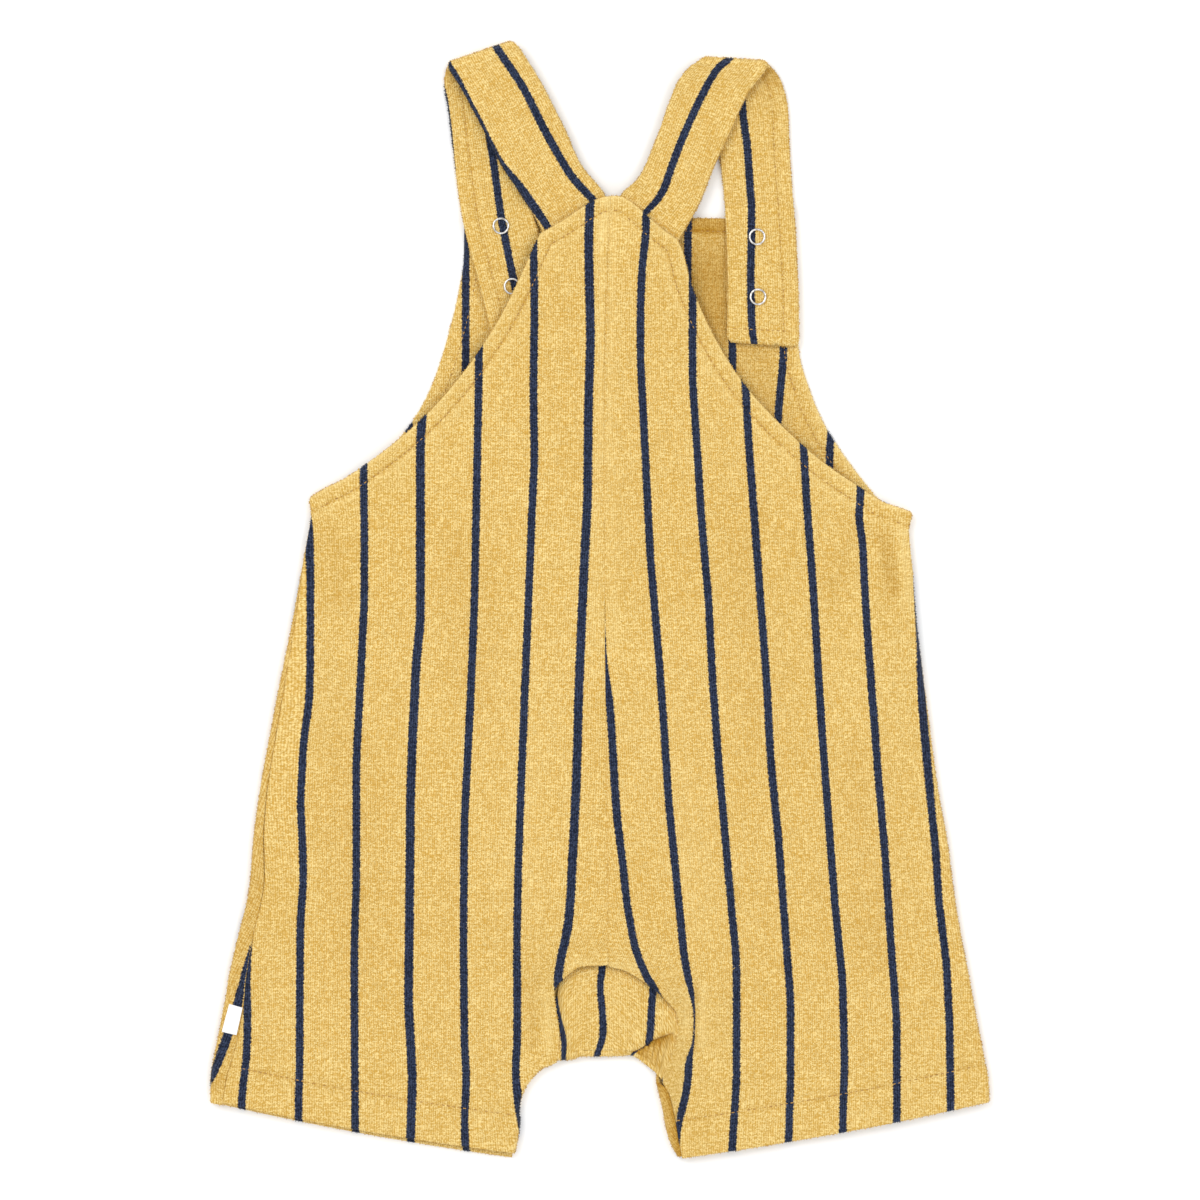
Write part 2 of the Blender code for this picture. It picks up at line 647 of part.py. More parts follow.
def make_strap(name, up, down, collection, material):
    stations = strap_stations(up, down)
    centres = np.array([s[0] for s in stations])
    headings = np.gradient(centres, axis=0)
    bm = bmesh.new()
    rings = []
    for (centre, across, width), heading in zip(stations, headings):
        section = strap_section(centre, across, width, heading / np.linalg.norm(heading))
        rings.append([bm.verts.new([value * MM for value in point]) for point in section])
    around = len(rings[0])
    for one, two in zip(rings, rings[1:]):
        for k in range(around):
            bm.faces.new((one[k], one[(k + 1) % around], two[(k + 1) % around], two[k]))
    bm.faces.new(rings[0])
    bm.faces.new(rings[-1])
    return finish_object(name, bm, collection, material)


def make_snap(name, place, collection, material):
    height = CLOTH + SEAM_GAP + STRAP + SEAM_GAP + SNAP_WIRE
    bpy.ops.mesh.primitive_torus_add(
        location=(place[0] * MM, place[1] * MM, height * MM),
        major_radius=SNAP_RADIUS * MM,
        minor_radius=SNAP_WIRE * MM,
        major_segments=20,
        minor_segments=5,
    )
    ring = bpy.context.active_object
    ring.name = name
    ring.data.materials.append(material)
    ring.data.shade_smooth()
    for other in list(ring.users_collection):
        other.objects.unlink(ring)
    collection.objects.link(ring)
    return ring


def make_label(collection, material):
    """A short tape that lies on the front's cloth where that comes round to the back."""
    steps = 4
    corners = [np.array(corner) for corner in zip(LABEL["x"], LABEL["y"])]
    points = []
    for i in range(steps + 1):
        seam = corners[0] + (corners[1] - corners[0]) * i / steps
        free = corners[3] + (corners[2] - corners[3]) * i / steps
        row = []
        for k in range(steps + 1):
            x, y = free + (seam - free) * k / steps
            level = BACK_MID + CLOTH / 2 + SEAM_GAP + LABEL_THICKNESS / 2
            row.append((x, y, level + back_level(x, y) - BACK_MID))
        points.append(row)
    bm = bmesh.new()
    grid_into(bm, points)
    return finish_object("label", bm, collection, material, LABEL_THICKNESS)


def make_material(name):
    colour, roughness, metallic = COLOURS[name]
    material = bpy.data.materials.new(name)
    material.use_nodes = True
    shader = material.node_tree.nodes["Principled BSDF"]
    shader.inputs["Base Color"].default_value = colour
    shader.inputs["Roughness"].default_value = roughness
    shader.inputs["Metallic"].default_value = metallic
    return material


def main():
    for obj in list(bpy.data.objects):
        bpy.data.objects.remove(obj)
    romper = bpy.data.collections.new("baby_romper")
    bpy.context.scene.collection.children.link(romper)
    materials = {name: make_material(name) for name in COLOURS}
    towelling = materials["towelling"]
    make_front(romper, towelling)
    left = rail(LEFT_SIDE, BACK_LEFT_ARMHOLE), rail(LEFT_LEG, BACK_LEFT_GUSSET, centre_rail("back"))
    make_back_half("back_left", *left, BACK_LEFT_COLUMNS, romper, towelling)
    right = rail(RIGHT_SIDE, BACK_RIGHT_ARMHOLE), rail(RIGHT_LEG, BACK_RIGHT_GUSSET, centre_rail("back"))
    make_back_half("back_right", *right, BACK_RIGHT_COLUMNS, romper, towelling)
    make_gusset(romper, towelling)
    make_strap("strap_left", LEFT_STRAP_UP, LEFT_STRAP_DOWN, romper, towelling)
    make_strap("strap_right", RIGHT_STRAP_UP, RIGHT_STRAP_DOWN, romper, towelling)
    for name, place in SNAPS.items():
        make_snap(name, place, romper, materials["snap"])
    make_label(romper, materials["label"])


main()
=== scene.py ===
"""Looks of a baby's towelling romper with pinstripes, laid flat on a pale floor with its back uppermost.

+X is to the viewer's right, +Y towards the straps and +Z up. Lengths are in millimetres until a mesh is made.
Each cloth piece is a thin shell on the form of its solid: a grid of courses (rows that run across it), given
its thickness, its turned edges, its creases, and the place of its stripes. Sizes and stripes stand in charts.
The pile at the edges, the stitches and the snap rings are pieces beside the cloth.
"""

import math

import bmesh
import bpy
import numpy as np
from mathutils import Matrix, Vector
from mathutils.bvhtree import BVHTree


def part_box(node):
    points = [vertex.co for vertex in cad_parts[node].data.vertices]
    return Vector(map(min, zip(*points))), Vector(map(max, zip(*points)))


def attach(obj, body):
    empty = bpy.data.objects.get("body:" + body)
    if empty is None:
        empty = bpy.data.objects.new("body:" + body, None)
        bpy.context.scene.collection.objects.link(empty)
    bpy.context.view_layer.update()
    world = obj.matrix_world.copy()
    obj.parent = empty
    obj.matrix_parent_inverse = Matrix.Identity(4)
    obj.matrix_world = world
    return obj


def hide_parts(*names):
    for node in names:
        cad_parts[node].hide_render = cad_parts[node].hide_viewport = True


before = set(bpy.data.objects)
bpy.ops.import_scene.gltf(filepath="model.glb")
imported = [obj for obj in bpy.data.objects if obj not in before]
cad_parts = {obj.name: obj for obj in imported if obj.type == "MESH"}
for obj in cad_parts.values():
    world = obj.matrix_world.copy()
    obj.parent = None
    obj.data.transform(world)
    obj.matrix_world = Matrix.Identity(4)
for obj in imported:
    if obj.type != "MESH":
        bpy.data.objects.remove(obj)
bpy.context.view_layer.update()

MM = 0.001

# Sizes of the cloth, in millimetres.
CLOTH = 1.6
STRAP = 2.8
HOLLOW = 2.0
ROLL_RADIUS = (CLOTH + HOLLOW) / 2
ROLL_SEAM_GAP = 0.04
CENTRE_GAP = 0.015
FRONT_MID = CLOTH / 2
BACK_MID = CLOTH + HOLLOW + CLOTH / 2
STRAP_FOLD_RADIUS = 2.2
ARMHOLE_TURN = 6.2  # from the edge to its row of stitches
HEM_TURN = 16.4
BIB_TURN = 5.6
STRAP_TURN = 6.6
STRIPE = 3.45  # its width
REPEAT = 23.65  # from one stripe to the next

# The grids: how close their points stand, and how their edges are rounded.
COURSE_PITCH = 1.35
FRONT_PITCH = 1.8
BACK_COLUMNS = 104
FRONT_COLUMNS = 74
GUSSET_COURSES = 120
GUSSET_COLUMNS = 78
ARC_STEPS = 14
DENSE_STEPS = 90
BEND_WEIGHT = 7.0  # how much closer the points stand where a course bends
EDGE_MARKS = (0.0, 0.1, 0.35, 0.8)  # the points beside an edge
NEXT_COURSE = 1.3  # the next course inside them comes no nearer than this share of the last mark
NEXT_POINT = 1.4  # and neither does the next point of a course
EDGE_ROUND = 0.8
SEAM_ROUND = 0.4
BUTT_ROUND = 0.3
SEAM_DEEP = 0.5
BUTT_DEEP = 0.35
THIN_EDGE = 0.006  # the share of the wall that is left at an edge, squared
WELD = 0.004  # points within one step of this size are one point

ARMHOLE_ROWS = 8  # rows of each armhole's chart
ARMHOLE_FROM = 1.65  # its turned edge begins this many rows below them
ARMHOLE_NEAR = 4.5  # and the courses from this many rows below them up may come near it
LED_PAST = 9.0  # the turned edge is led on past the side by this much
WING_ROWS = (5.6, 9.4)  # the rows where the right half's inner edge runs on into the gusset's wing
STRIP_ABOVE = 2.2  # above this height the front's cloth is a strip turned round onto the back
STRIP_WIDEST = 14.0
GROOVE = 0.75  # half the width of the groove along a row of stitches
FAR_AWAY = 99.0
NO_STRIPE = 9.0  # so far outside a stripe's edge that none shows


def table(columns, *rows):
    """A size chart: {column: [value of each row]}, with 0 for what a row leaves out at its end."""
    return {name: [row[i] if i < len(row) else 0.0 for row in rows] for i, name in enumerate(columns.split())}


# Rails: the ends of the panels' courses, from the leg hem up, near the solids' own. seam is how far in
# from the round side the seam lies on the back (+), or how far round and under it (-). roll is how much of
# the round there is, and bow how far the middle of the course sags (+) or arches (-).
LEFT_SIDE = table(
    "x y seam roll bow",
    (-167.7, -215.4, 2.6, 1.0, 1.5),
    (-167.6, -206.0, 4.3, 1.0, 1.1),
    (-166.2, -196.5, 5.4, 1.0, 0.7),
    (-164.3, -187.5, 5.9, 1.0, 0.3),
    (-162.7, -179.0, 5.8, 1.0),
    (-161.1, -171.0, 5.6, 1.0),
    (-159.9, -163.0, 5.1, 1.0),
    (-158.2, -155.0, 4.6, 1.0),
    (-156.3, -147.0, 4.1, 1.0),
    (-154.2, -138.5, 3.6, 1.0),
    (-152.0, -130.0, 3.6, 1.0),
    (-150.5, -120.4, 3.8, 1.0),
    (-149.7, -110.0, 3.1, 1.0),
    (-148.8, -100.0, 2.0, 1.0),
    (-146.4, -82.0, 0.8, 1.0),
    (-140.5, -50.0, -0.1, 1.0),
    (-132.9, -12.0, -1.0, 1.0),
    (-127.3, 17.0, -2.4, 0.75),
    (-124.2, 36.6, -2.8, 0.05),
    (-125.0, 42.9),
    (-118.5, 47.9),
)
RIGHT_SIDE = table(
    "x y seam roll bow",
    (167.3, -216.0, -6.0, 1.0, 1.5),
    (166.9, -207.6, -6.0, 1.0, 1.1),
    (165.7, -199.2, -6.0, 1.0, 0.8),
    (164.2, -191.0, -6.0, 1.0, 0.4),
    (162.7, -183.5, -6.0, 1.0, 0.2),
    (161.3, -176.0, -6.0, 1.0),
    (160.0, -168.5, -6.0, 1.0),
    (158.6, -161.0, -6.0, 1.0),
    (157.1, -153.5, -6.0, 1.0),
    (155.6, -146.0, -6.0, 1.0),
    (154.3, -138.5, -6.0, 1.0),
    (153.0, -131.0, -6.0, 1.0),
    (152.0, -123.5, -6.0, 1.0),
    (151.0, -116.0, -6.0, 1.0),
    (150.1, -108.5, -6.0, 1.0),
    (148.8, -100.0, -6.0, 1.0),
    (145.5, -82.0, -6.0, 1.0),
    (141.2, -50.0, -6.0, 1.0),
    (136.4, -12.0, -6.0, 1.0),
    (133.2, 20.0, -3.2, 0.55),
    (132.8, 30.4, -2.8, 0.05),
    (134.2, 36.8),
    (121.4, 42.3),
)
LEFT_LEG = table(
    "x y seam roll",
    (-36.9, -238.0, -6.0, 1.0),
    (-34.8, -226.0, -6.0, 1.0),
    (-34.5, -217.6, -6.0, 1.0),
    (-32.4, -210.6, -6.0, 1.0),
    (-28.4, -205.0, -6.0, 1.0),
    (-24.3, -201.1, -6.0, 1.0),
)
RIGHT_LEG = table(
    "x y seam roll",
    (33.4, -240.4, -0.6, 1.0),
    (30.0, -233.0, 1.2, 1.0),
    (28.2, -226.6, 2.0, 1.0),
    (26.9, -219.3, 1.8, 1.0),
    (25.6, -213.5, 1.6, 1.0),
    (24.7, -210.2, 0.6, 1.0),
)
# The back halves' own edges: along the gusset, and along the armhole up to the straps.
BACK_LEFT_GUSSET = table(
    "x y seam roll",
    (-21.3, -199.5, -6.0, 0.7),
    (-18.3, -196.2, -6.0, 0.1),
    (-17.3, -187.0),
    (-18.6, -177.5),
    (-19.6, -168.6),
    (-14.6, -162.0),
    (-7.4, -157.4),
)
BACK_RIGHT_GUSSET = table(
    "x y",
    (26.8, -205.6),
    (28.3, -201.0),
    (30.6, -195.6),
    (33.4, -185.4),
    (33.0, -178.4),
    (29.7, -173.6),
    (25.2, -169.0),
    (17.6, -163.4),
    (10.3, -159.2),
)
BACK_LEFT_ARMHOLE = table(
    "x y bow",
    (-110.6, 51.8),
    (-95.0, 62.4),
    (-76.1, 78.3),
    (-57.2, 99.8),
    (-42.6, 122.0),
    (-33.5, 140.2),
    (-28.0, 152.5, -1.0),
    (-25.6, 157.4, -2.0),
)
BACK_RIGHT_ARMHOLE = table(
    "x y bow",
    (110.1, 49.5),
    (96.5, 58.8),
    (78.3, 74.8),
    (60.0, 95.5),
    (46.5, 118.5),
    (38.6, 137.5),
    (35.8, 149.0, -1.6),
    (33.3, 154.8, -3.2),
)

# The front's own edges: along the gusset, then the armhole and the bib.
FRONT_LEFT_GUSSET = table(
    "x y",
    (-24.6, -196.6),
    (-19.8, -193.4),
    (-19.0, -188.6),
    (-17.0, -184.6),
    (-12.4, -182.2),
    (-7.5, -181.2),
    (-2.0, -181.0),
)
FRONT_RIGHT_GUSSET = table(
    "x y seam roll",
    (24.0, -207.4, -2.0, 1.0),
    (23.8, -205.2, -3.6, 0.9),
    (23.6, -202.0, -5.0, 0.3),
    (21.8, -197.0),
    (20.6, -191.0),
    (19.4, -186.0),
    (16.8, -182.8),
    (13.2, -181.2),
    (9.0, -181.0),
)
FRONT_LEFT_ARMHOLE = table(
    "x y",
    (-111.5, 50.3),
    (-95.0, 61.0),
    (-81.5, 76.0),
    (-73.0, 91.0),
    (-66.2, 111.0),
    (-61.0, 132.0),
    (-58.6, 148.0),
    (-58.5, 160.8),
)
FRONT_RIGHT_ARMHOLE = table(
    "x y",
    (114.0, 50.5),
    (104.1, 63.6),
    (96.3, 76.1),
    (89.9, 91.6),
    (85.6, 108.0),
    (84.9, 128.0),
    (84.8, 146.0),
    (84.0, 164.0),
)
# How far the corners of the front's hem are moved, at the side and at the leg.
FRONT_HEM_SHIFT = {"left": ((0.0, -0.9), (1.9, -2.6)), "right": ((0.0, 0.8), (0.0, 0.8))}
# The shade on the bib: how far in from its edges it is full, and how much deeper it is at the top.
BIB_SHADE = {"left": (11, 0.5), "right": (18, 0.37)}

# The middle of both layers, from the crotch up.
CENTRE = table(
    "back_x back_y front_x front_y",
    (3.4, -156.6, 3.4, -181.0),
    (3.4, -129.0, 3.4, -150.5),
    (2.9, -77.4, 3.4, -90.3),
    (2.1, -17.2, 2.6, -23.7),
    (1.9, 30.0, 1.7, 28.0),
    (1.7, 54.0, 1.7, 52.0),
    (1.7, 62.0, 1.7, 60.0),
    (1.7, 69.0, 1.7, 67.0),
    (1.7, 77.0, 1.7, 75.0),
    (1.7, 88.0, 1.7, 86.0),
    (1.8, 100.5, 1.7, 98.0),
    (2.1, 117.0, 1.7, 112.0),
    (2.7, 136.0, 1.7, 127.0),
    (3.4, 153.0, 1.7, 142.0),
    (4.2, 166.0, 1.7, 154.0),
    (4.7, 173.4, 1.7, 164.9),
)

# The gusset's courses, from the left leg to the right. Each starts under the back's seam (top), crowns, and
# reaches the lip of its fold, which tucks under by that share of a half turn. It runs on to the edge, turns
# under there and runs back (over) along the floor to the front's seam.
GUSSET = table(
    "top_x top_y lip_x lip_y edge_x edge_y turn over crown lip_z edge_z tuck",
    (-20.6, -171.5, -19.4, -187.0, -20.2, -198.6, 180, 2.0, 0.0, 2.5, 2.6),
    (-18.7, -171.0, -16.9, -187.0, -17.4, -198.1, 180, 7.0, 0.0, 3.8, 4.0),
    (-16.8, -161.4, -12.6, -194.0, -12.6, -197.9, 180, 9.5, 1.6, 4.4, 4.3),
    (-9.2, -155.8, -7.8, -192.6, -7.8, -196.5, 180, 10.5, 2.6, 4.6, 4.4),
    (2.8, -153.8, 0.8, -192.6, 0.8, -196.4, 180, 11.0, 3.0, 4.6, 4.4),
    (12.4, -157.2, 8.0, -192.4, 8.0, -196.3, 180, 11.0, 3.0, 4.6, 4.4),
    (19.2, -161.2, 12.6, -193.6, 12.7, -195.9, 180, 10.0, 3.0, 4.8, 4.1, 0.25),
    (24.2, -164.8, 15.8, -192.8, 15.4, -196.8, 180, 5.0, 3.1, 5.0, 3.6, 0.9),
    (28.2, -168.0, 19.4, -190.6, 18.5, -198.9, 180, 0.6, 3.0, 5.0, 3.4, 1.0),
    (31.0, -171.0, 22.8, -188.6, 20.8, -200.8, 130, 0.0, 2.6, 4.9, 3.4, 1.0),
    (33.4, -174.2, 26.6, -187.0, 23.3, -202.9, 80, 0.0, 1.9, 4.6, 3.4, 0.9),
    (35.3, -178.2, 31.0, -186.0, 25.9, -205.6, 35, 0.0, 0.9, 4.0, 3.3, 0.5),
    (36.2, -183.2, 35.2, -191.0, 28.8, -208.2, 0, 0.0, 0.0, 3.2, 3.0),
)
LIP_ROUND = 1.15
WING_TAPER = 2.6  # the back thins out over this much where it runs on into the gusset's wing
GUSSET_TOP_Z = 2.9
TIP_RISE = 2.6
TIP_RISE_FROM = 112.0
TIP_RISE_TO = 146.0
TIP_SKEW = 2.2  # puts the arch of the top edge nearer to the centre

# Soft ridges (+) and troughs (-) of the back, each along a line.
FOLDS = table(
    "x1 y1 x2 y2 width height",
    (-19.0, -166.0, -8.0, -157.0, 6.0, 1.2),
    (-8.0, -157.0, 3.0, -155.0, 6.0, 0.6),
    (3.0, -155.0, 27.5, -169.0, 6.0, 1.2),
    (27.5, -169.0, 35.0, -184.0, 6.0, 0.8),
    (34.0, -184.0, 27.5, -206.0, 3.0, -0.5),
    (41.5, -166.0, 41.0, -193.0, 2.6, -1.3),
    (-29.0, -163.0, -30.0, -190.0, 5.0, -0.8),
    (-128.0, -40.0, -78.0, 18.0, 12.0, 0.8),
    (-134.0, -84.0, -112.0, -52.0, 10.0, -0.7),
    (116.0, 26.0, 95.0, -16.0, 8.0, -0.8),
    (126.0, 12.0, 122.0, -40.0, 8.0, 0.6),
    (-114.0, -214.0, -108.0, -172.0, 10.0, 0.7),
    (-70.0, -224.0, -66.0, -190.0, 9.0, -0.6),
    (120.0, -216.0, 112.0, -165.0, 12.0, 0.8),
    (82.0, -230.0, 78.0, -190.0, 9.0, -0.7),
    (-60.0, -60.0, -52.0, -120.0, 16.0, 0.6),
    (62.0, -30.0, 70.0, -90.0, 16.0, 0.6),
    (3.2, -150.0, 1.7, 60.0, 2.4, -0.7),
    (-128.0, 36.0, -116.0, 48.0, 11.0, -1.5),
    (136.0, 28.0, 124.0, 42.0, 11.0, -1.5),
    (-36.5, 134.0, -30.0, 112.0, 25.0, 2.6),
    # Smaller ones, at the crotch and beside the centre seam.
    (38.6, -170.0, 38.8, -192.0, 1.8, 0.55),
    (-24.0, -172.0, -24.5, -192.0, 3.0, 0.5),
    (46.0, -160.0, 52.0, -178.0, 4.0, 0.35),
    (-36.0, -158.0, -42.0, -180.0, 4.0, 0.35),
    (-20.0, -196.0, -33.0, -206.0, 3.0, -0.4),
    (14.0, -156.0, 22.0, -140.0, 4.0, 0.3),
    (-10.0, -154.0, -16.0, -138.0, 4.0, 0.3),
    (1.7, 60.0, 4.4, 168.0, 1.7, -0.4),
    (0.0, 60.0, 2.0, 166.0, 1.8, 0.25),
)

# Painted shade (+) in soft troughs and painted highlight (-) on ridges, each along a line.
PAINTED_SHADES = table(
    "x1 y1 x2 y2 width share",
    (122.0, 27.0, 126.5, 4.0, 4.2, 0.42),
    (130.5, 28.0, 131.5, 0.0, 3.0, -0.3),
    (112.0, 34.0, 100.0, 6.0, 5.0, 0.12),
    (-118.0, 30.0, -112.0, 0.0, 6.0, 0.12),
    (41.5, -168.0, 40.5, -194.0, 1.6, 0.3),
    (44.5, -166.0, 44.0, -192.0, 2.0, -0.3),
    (37.0, -170.0, 37.0, -186.0, 1.6, -0.2),
    (-23.0, -170.0, -22.0, -190.0, 2.0, -0.3),
    (-28.5, -164.0, -29.0, -190.0, 3.0, 0.18),
    (-12.0, -155.5, 16.0, -158.0, 1.6, -0.3),
    (1.9, 158.0, 4.0, 172.0, 3.0, -0.3),
    (0.2, 60.0, 0.6, 160.0, 1.6, -0.25),
    (3.9, 60.0, 5.4, 160.0, 1.6, -0.2),
    (-1.5, -20.0, -1.5, 60.0, 3.0, -0.12),
    (6.0, -20.0, 5.6, 60.0, 3.0, -0.12),
    (-60.0, 20.0, -52.0, -40.0, 12.0, 0.1),
    (60.0, 30.0, 72.0, -60.0, 12.0, 0.1),
    (-110.0, -60.0, -104.0, -150.0, 12.0, 0.1),
    (110.0, -70.0, 118.0, -150.0, 12.0, 0.1),
    (-30.0, -60.0, -34.0, -130.0, 9.0, -0.1),
    (34.0, -80.0, 44.0, -140.0, 9.0, -0.1),
)

# The stripes, charted on a square of 1200 steps of 0.43 mm, counted from the top left corner of the ground on
# which the romper lies. Each stripe is read from top to bottom as across, down, across, down and so on.
STEP = 0.43
HALF_CHART = 600
CHART_REACH = 260  # the stripes are worked out this far up and down from the middle, in millimetres
EASED_OVER = 11  # and eased over this many
BACK_LEFT_STRIPES = (
    (200, 400, 232, 800, 249, 900, 248, 940, 246.8, 960, 246.2, 980, 246.8, 1000, 247.3, 1020, 246.8, 1040,
     245.9, 1060, 243.2, 1080, 241.2, 1100, 240, 1180),
    (298, 496, 308.4, 517, 309.3, 540, 310, 560, 310, 660, 309, 700, 303, 740, 300, 800, 302, 840,
     303, 880, 300, 920, 299.3, 1000, 299.2, 1060, 298.2, 1110, 298, 1180),
    (363, 450, 364, 540, 364, 600, 362, 640, 360, 680, 358, 720, 356, 760, 356, 880, 354, 940, 354, 1000,
     355, 1180),
    (423, 400, 420, 440, 420, 540, 420, 620, 416, 660, 414, 700, 412, 740, 410, 800, 409, 920, 408, 1000,
     410, 1040, 412, 1080, 410, 1135, 409, 1180),
    (479, 340, 478, 400, 476, 500, 474, 600, 470, 700, 466, 780, 464, 820, 463, 940, 464, 1040, 466, 1080,
     464, 1120, 466, 1180),
    (533, 240, 534, 300, 533, 400, 534, 460, 532, 500, 528, 600, 524, 700, 520, 800, 518, 860, 516.5, 930,
     516.5, 1045, 515, 1067, 515.8, 1087, 517, 1099, 518, 1109, 519.5, 1124, 523, 1140, 526, 1180),
    (590, 190, 588, 240, 590, 340, 588, 400, 587, 500, 582, 600, 578, 700, 576, 780, 572, 860, 570, 900,
     567, 930, 561.8, 952, 559, 967, 557.6, 979, 557, 988, 563, 1000, 600, 1180),
)
BACK_RIGHT_STRIPES = (
    (597, 520, 598.9, 560, 600.2, 600, 600.9, 623, 601.9, 646, 603.1, 660, 604.7, 673, 607, 685,
     609.2, 700, 612, 740, 614, 780, 617, 820, 622, 860, 626, 900, 631, 930, 635, 950, 641.4, 967,
     647.6, 979, 653, 988, 658, 994, 661, 1003, 655, 1180),
    (646, 200, 645, 240, 642, 260, 640, 300, 640, 360, 642, 400, 646, 480, 650, 560, 657, 640, 663, 720,
     668, 800, 676, 880, 681, 930, 683.4, 955, 687.7, 979, 690.6, 994, 692.5, 1003, 693.3, 1023,
     692.5, 1035, 691.4, 1048, 688, 1058, 688, 1077, 686, 1089, 683.6, 1102, 679.6, 1114, 678, 1126,
     678, 1140, 678.5, 1180),
    (692, 280, 692, 380, 696, 440, 701, 520, 708, 600, 712, 680, 718, 760, 725, 840, 732, 920, 736, 960,
     736, 1080, 732, 1140, 730, 1180),
    (744, 370, 748, 440, 754, 520, 760, 600, 766, 680, 770, 760, 778, 840, 784, 920, 790, 1000, 790, 1080,
     788, 1140, 787, 1180),
    (802, 430, 806, 500, 812, 580, 817, 660, 822, 740, 828, 820, 834, 900, 842, 980, 844, 1060, 842, 1130,
     842, 1180),
    (861, 470, 858, 520, 862, 540, 866, 620, 872, 700, 878, 780, 885, 860, 890, 940, 896, 1020, 896, 1122,
     896, 1180),
    (932, 480, 922, 540, 916.5, 577, 917, 600, 919, 648, 921, 700, 924, 740, 930, 800, 936, 860, 938, 900,
     946, 964, 949, 1027, 950, 1112, 951, 1180),
)
# Where a stripe sinks into the crease of the right thigh: down and the share of its width that shows.
THIGH_CREASE = table(
    "down share",
    (975, 1.0),
    (994, 0.68),
    (1003, 0.42),
    (1023, 0.26),
    (1036, 0.28),
    (1048, 0.42),
    (1057, 0.8),
    (1065, 1.0),
    (1114, 1.0),
    (1126, 0.75),
    (1140, 0.4),
    (1150, 0.2),
)
FRONT_STRIPES = (
    (243, 560, 241, 1180),
    (298, 480, 298, 1180),
    (353, 470, 355, 1180),
    (408, 410, 410, 1180),
    (465, 200, 465, 375, 460, 480, 462, 700, 465, 1000, 466, 1180),
    (520, 200, 519, 400, 520, 700, 523, 1000, 524, 1180),
    (576, 200, 576, 1180),
    (632, 200, 632, 1180),
    (688, 200, 687, 290, 685, 400, 683, 700, 680, 1000, 679, 1180),
    (735, 200, 732, 350, 734, 600, 731, 1000, 730, 1180),
    (786, 200, 783, 360, 779, 400, 777, 430, 782, 600, 787, 1000, 788, 1180),
    (838, 380, 830, 437, 829, 470, 836, 600, 841, 1000, 842, 1180),
    (884, 470, 890, 700, 895, 1000, 896, 1180),
    (938, 470, 945, 700, 950, 1000, 951, 1180),
)
# The stripes from here on run any way, so each point has its width as well.
WRAP_STRIPES = (
    (250, 943, 1, 248.5, 952, 2.5, 246, 962, 4, 241.5, 980, 6.5, 237.8, 1003, 9.5, 231, 1022, 9.6,
     225, 1042, 9.3, 218.3, 1062, 7.5, 212, 1078, 5, 207.5, 1092, 2.5),
    (648, 1062, 3, 651, 1069, 3.5, 655, 1078, 2),
)
GUSSET_STRIPES = (
    (554, 985, 2.5, 555.3, 996, 4.2, 558.4, 1013, 5.3, 561.5, 1028, 5.6, 564, 1040, 6.4, 563.3, 1052, 5.3,
     563, 1061, 4.5, 563, 1080, 4),
    (603, 950, 7.5, 602, 960, 7.5, 601.7, 967, 7.5, 599.3, 990, 6.9, 601.3, 1003, 7, 603, 1028, 7.8,
     601.5, 1040, 7.2, 597, 1052, 6, 593, 1062, 5, 592, 1080, 5),
    (652.5, 978, 7, 652, 993, 7.5, 651, 1005, 7.7, 650, 1028, 8, 649, 1037, 7, 646, 1044, 4,
     640, 1048, 1.5, 630, 1054, 3.5, 626, 1062, 3),
)
LEFT_STRAP_STRIPES = (
    (488, 34, 8, 496, 47, 8, 503, 58, 8, 512, 71, 8, 524, 89, 8.2, 533, 108, 8.2, 544, 130, 8.2,
     558, 155, 8.2, 571, 177, 8.2, 590, 197, 8, 604, 212, 8),
    (445, 58, 7, 449.5, 68, 7, 455.5, 76, 7, 462.5, 90, 7, 470.5, 106, 7, 480, 124, 7.5, 489, 143, 7.5,
     498, 161, 8, 508, 174, 9, 519, 187, 10, 531, 203, 9.5, 545, 223, 8, 553, 236, 7),
)
LEFT_STRAP_DOWN_STRIPES = (
    (484, 60, 8, 487, 110, 8, 490, 144, 8, 493, 162, 8, 496, 184, 8, 500, 213, 8, 505, 240, 8, 509, 260, 8,
     515, 288, 8, 524, 330, 8, 530, 360, 8),
    (441, 75, 1, 444, 90, 2.5, 446.5, 100, 3, 450.5, 133, 3, 453, 160, 2, 456, 190, 1),
)
RIGHT_STRAP_STRIPES = (
    (736, 48, 7, 728, 60, 7.2, 719, 66, 7.4, 711, 77, 7.6, 702, 94, 7.8, 693, 113, 8, 684, 133, 8,
     674, 158, 8, 668, 176, 8, 663, 190, 8, 656, 201, 7, 646, 211, 6.5, 636, 222, 6),
)
RIGHT_STRAP_DOWN_STRIPES = (
    (741, 60, 7, 742, 100, 7, 743, 119, 8, 747, 145, 8, 749, 177, 8, 751, 202, 8, 751, 230, 8, 750, 280, 8,
     751, 325, 8, 754, 345, 7, 755, 360, 7),
)


def smooth(values, t):
    """Values at fractional row numbers t, on a curve through every row that never overshoots one."""
    v = np.asarray(values, float)
    step = np.diff(v)
    slope = np.zeros_like(v)
    slope[0], slope[-1] = step[0], step[-1]
    before, after = step[:-1], step[1:]
    same_way = before * after > 0
    total = np.where(same_way, before + after, 1.0)
    slope[1:-1] = np.where(same_way, 2 * before * after / total, 0.0)
    i = np.clip(np.floor(t).astype(int), 0, len(v) - 2)
    u = t - i
    return (
        v[i] * (1 + 2 * u) * (1 - u) ** 2
        + slope[i] * u * (1 - u) ** 2
        + v[i + 1] * u * u * (3 - 2 * u)
        + slope[i + 1] * u * u * (u - 1)
    )


def smoothstep(low, high, value):
    """0 up to low, 1 from high on, and a soft step between them."""
    t = np.clip((value - low) / (high - low), 0, 1)
    return t * t * (3 - 2 * t)


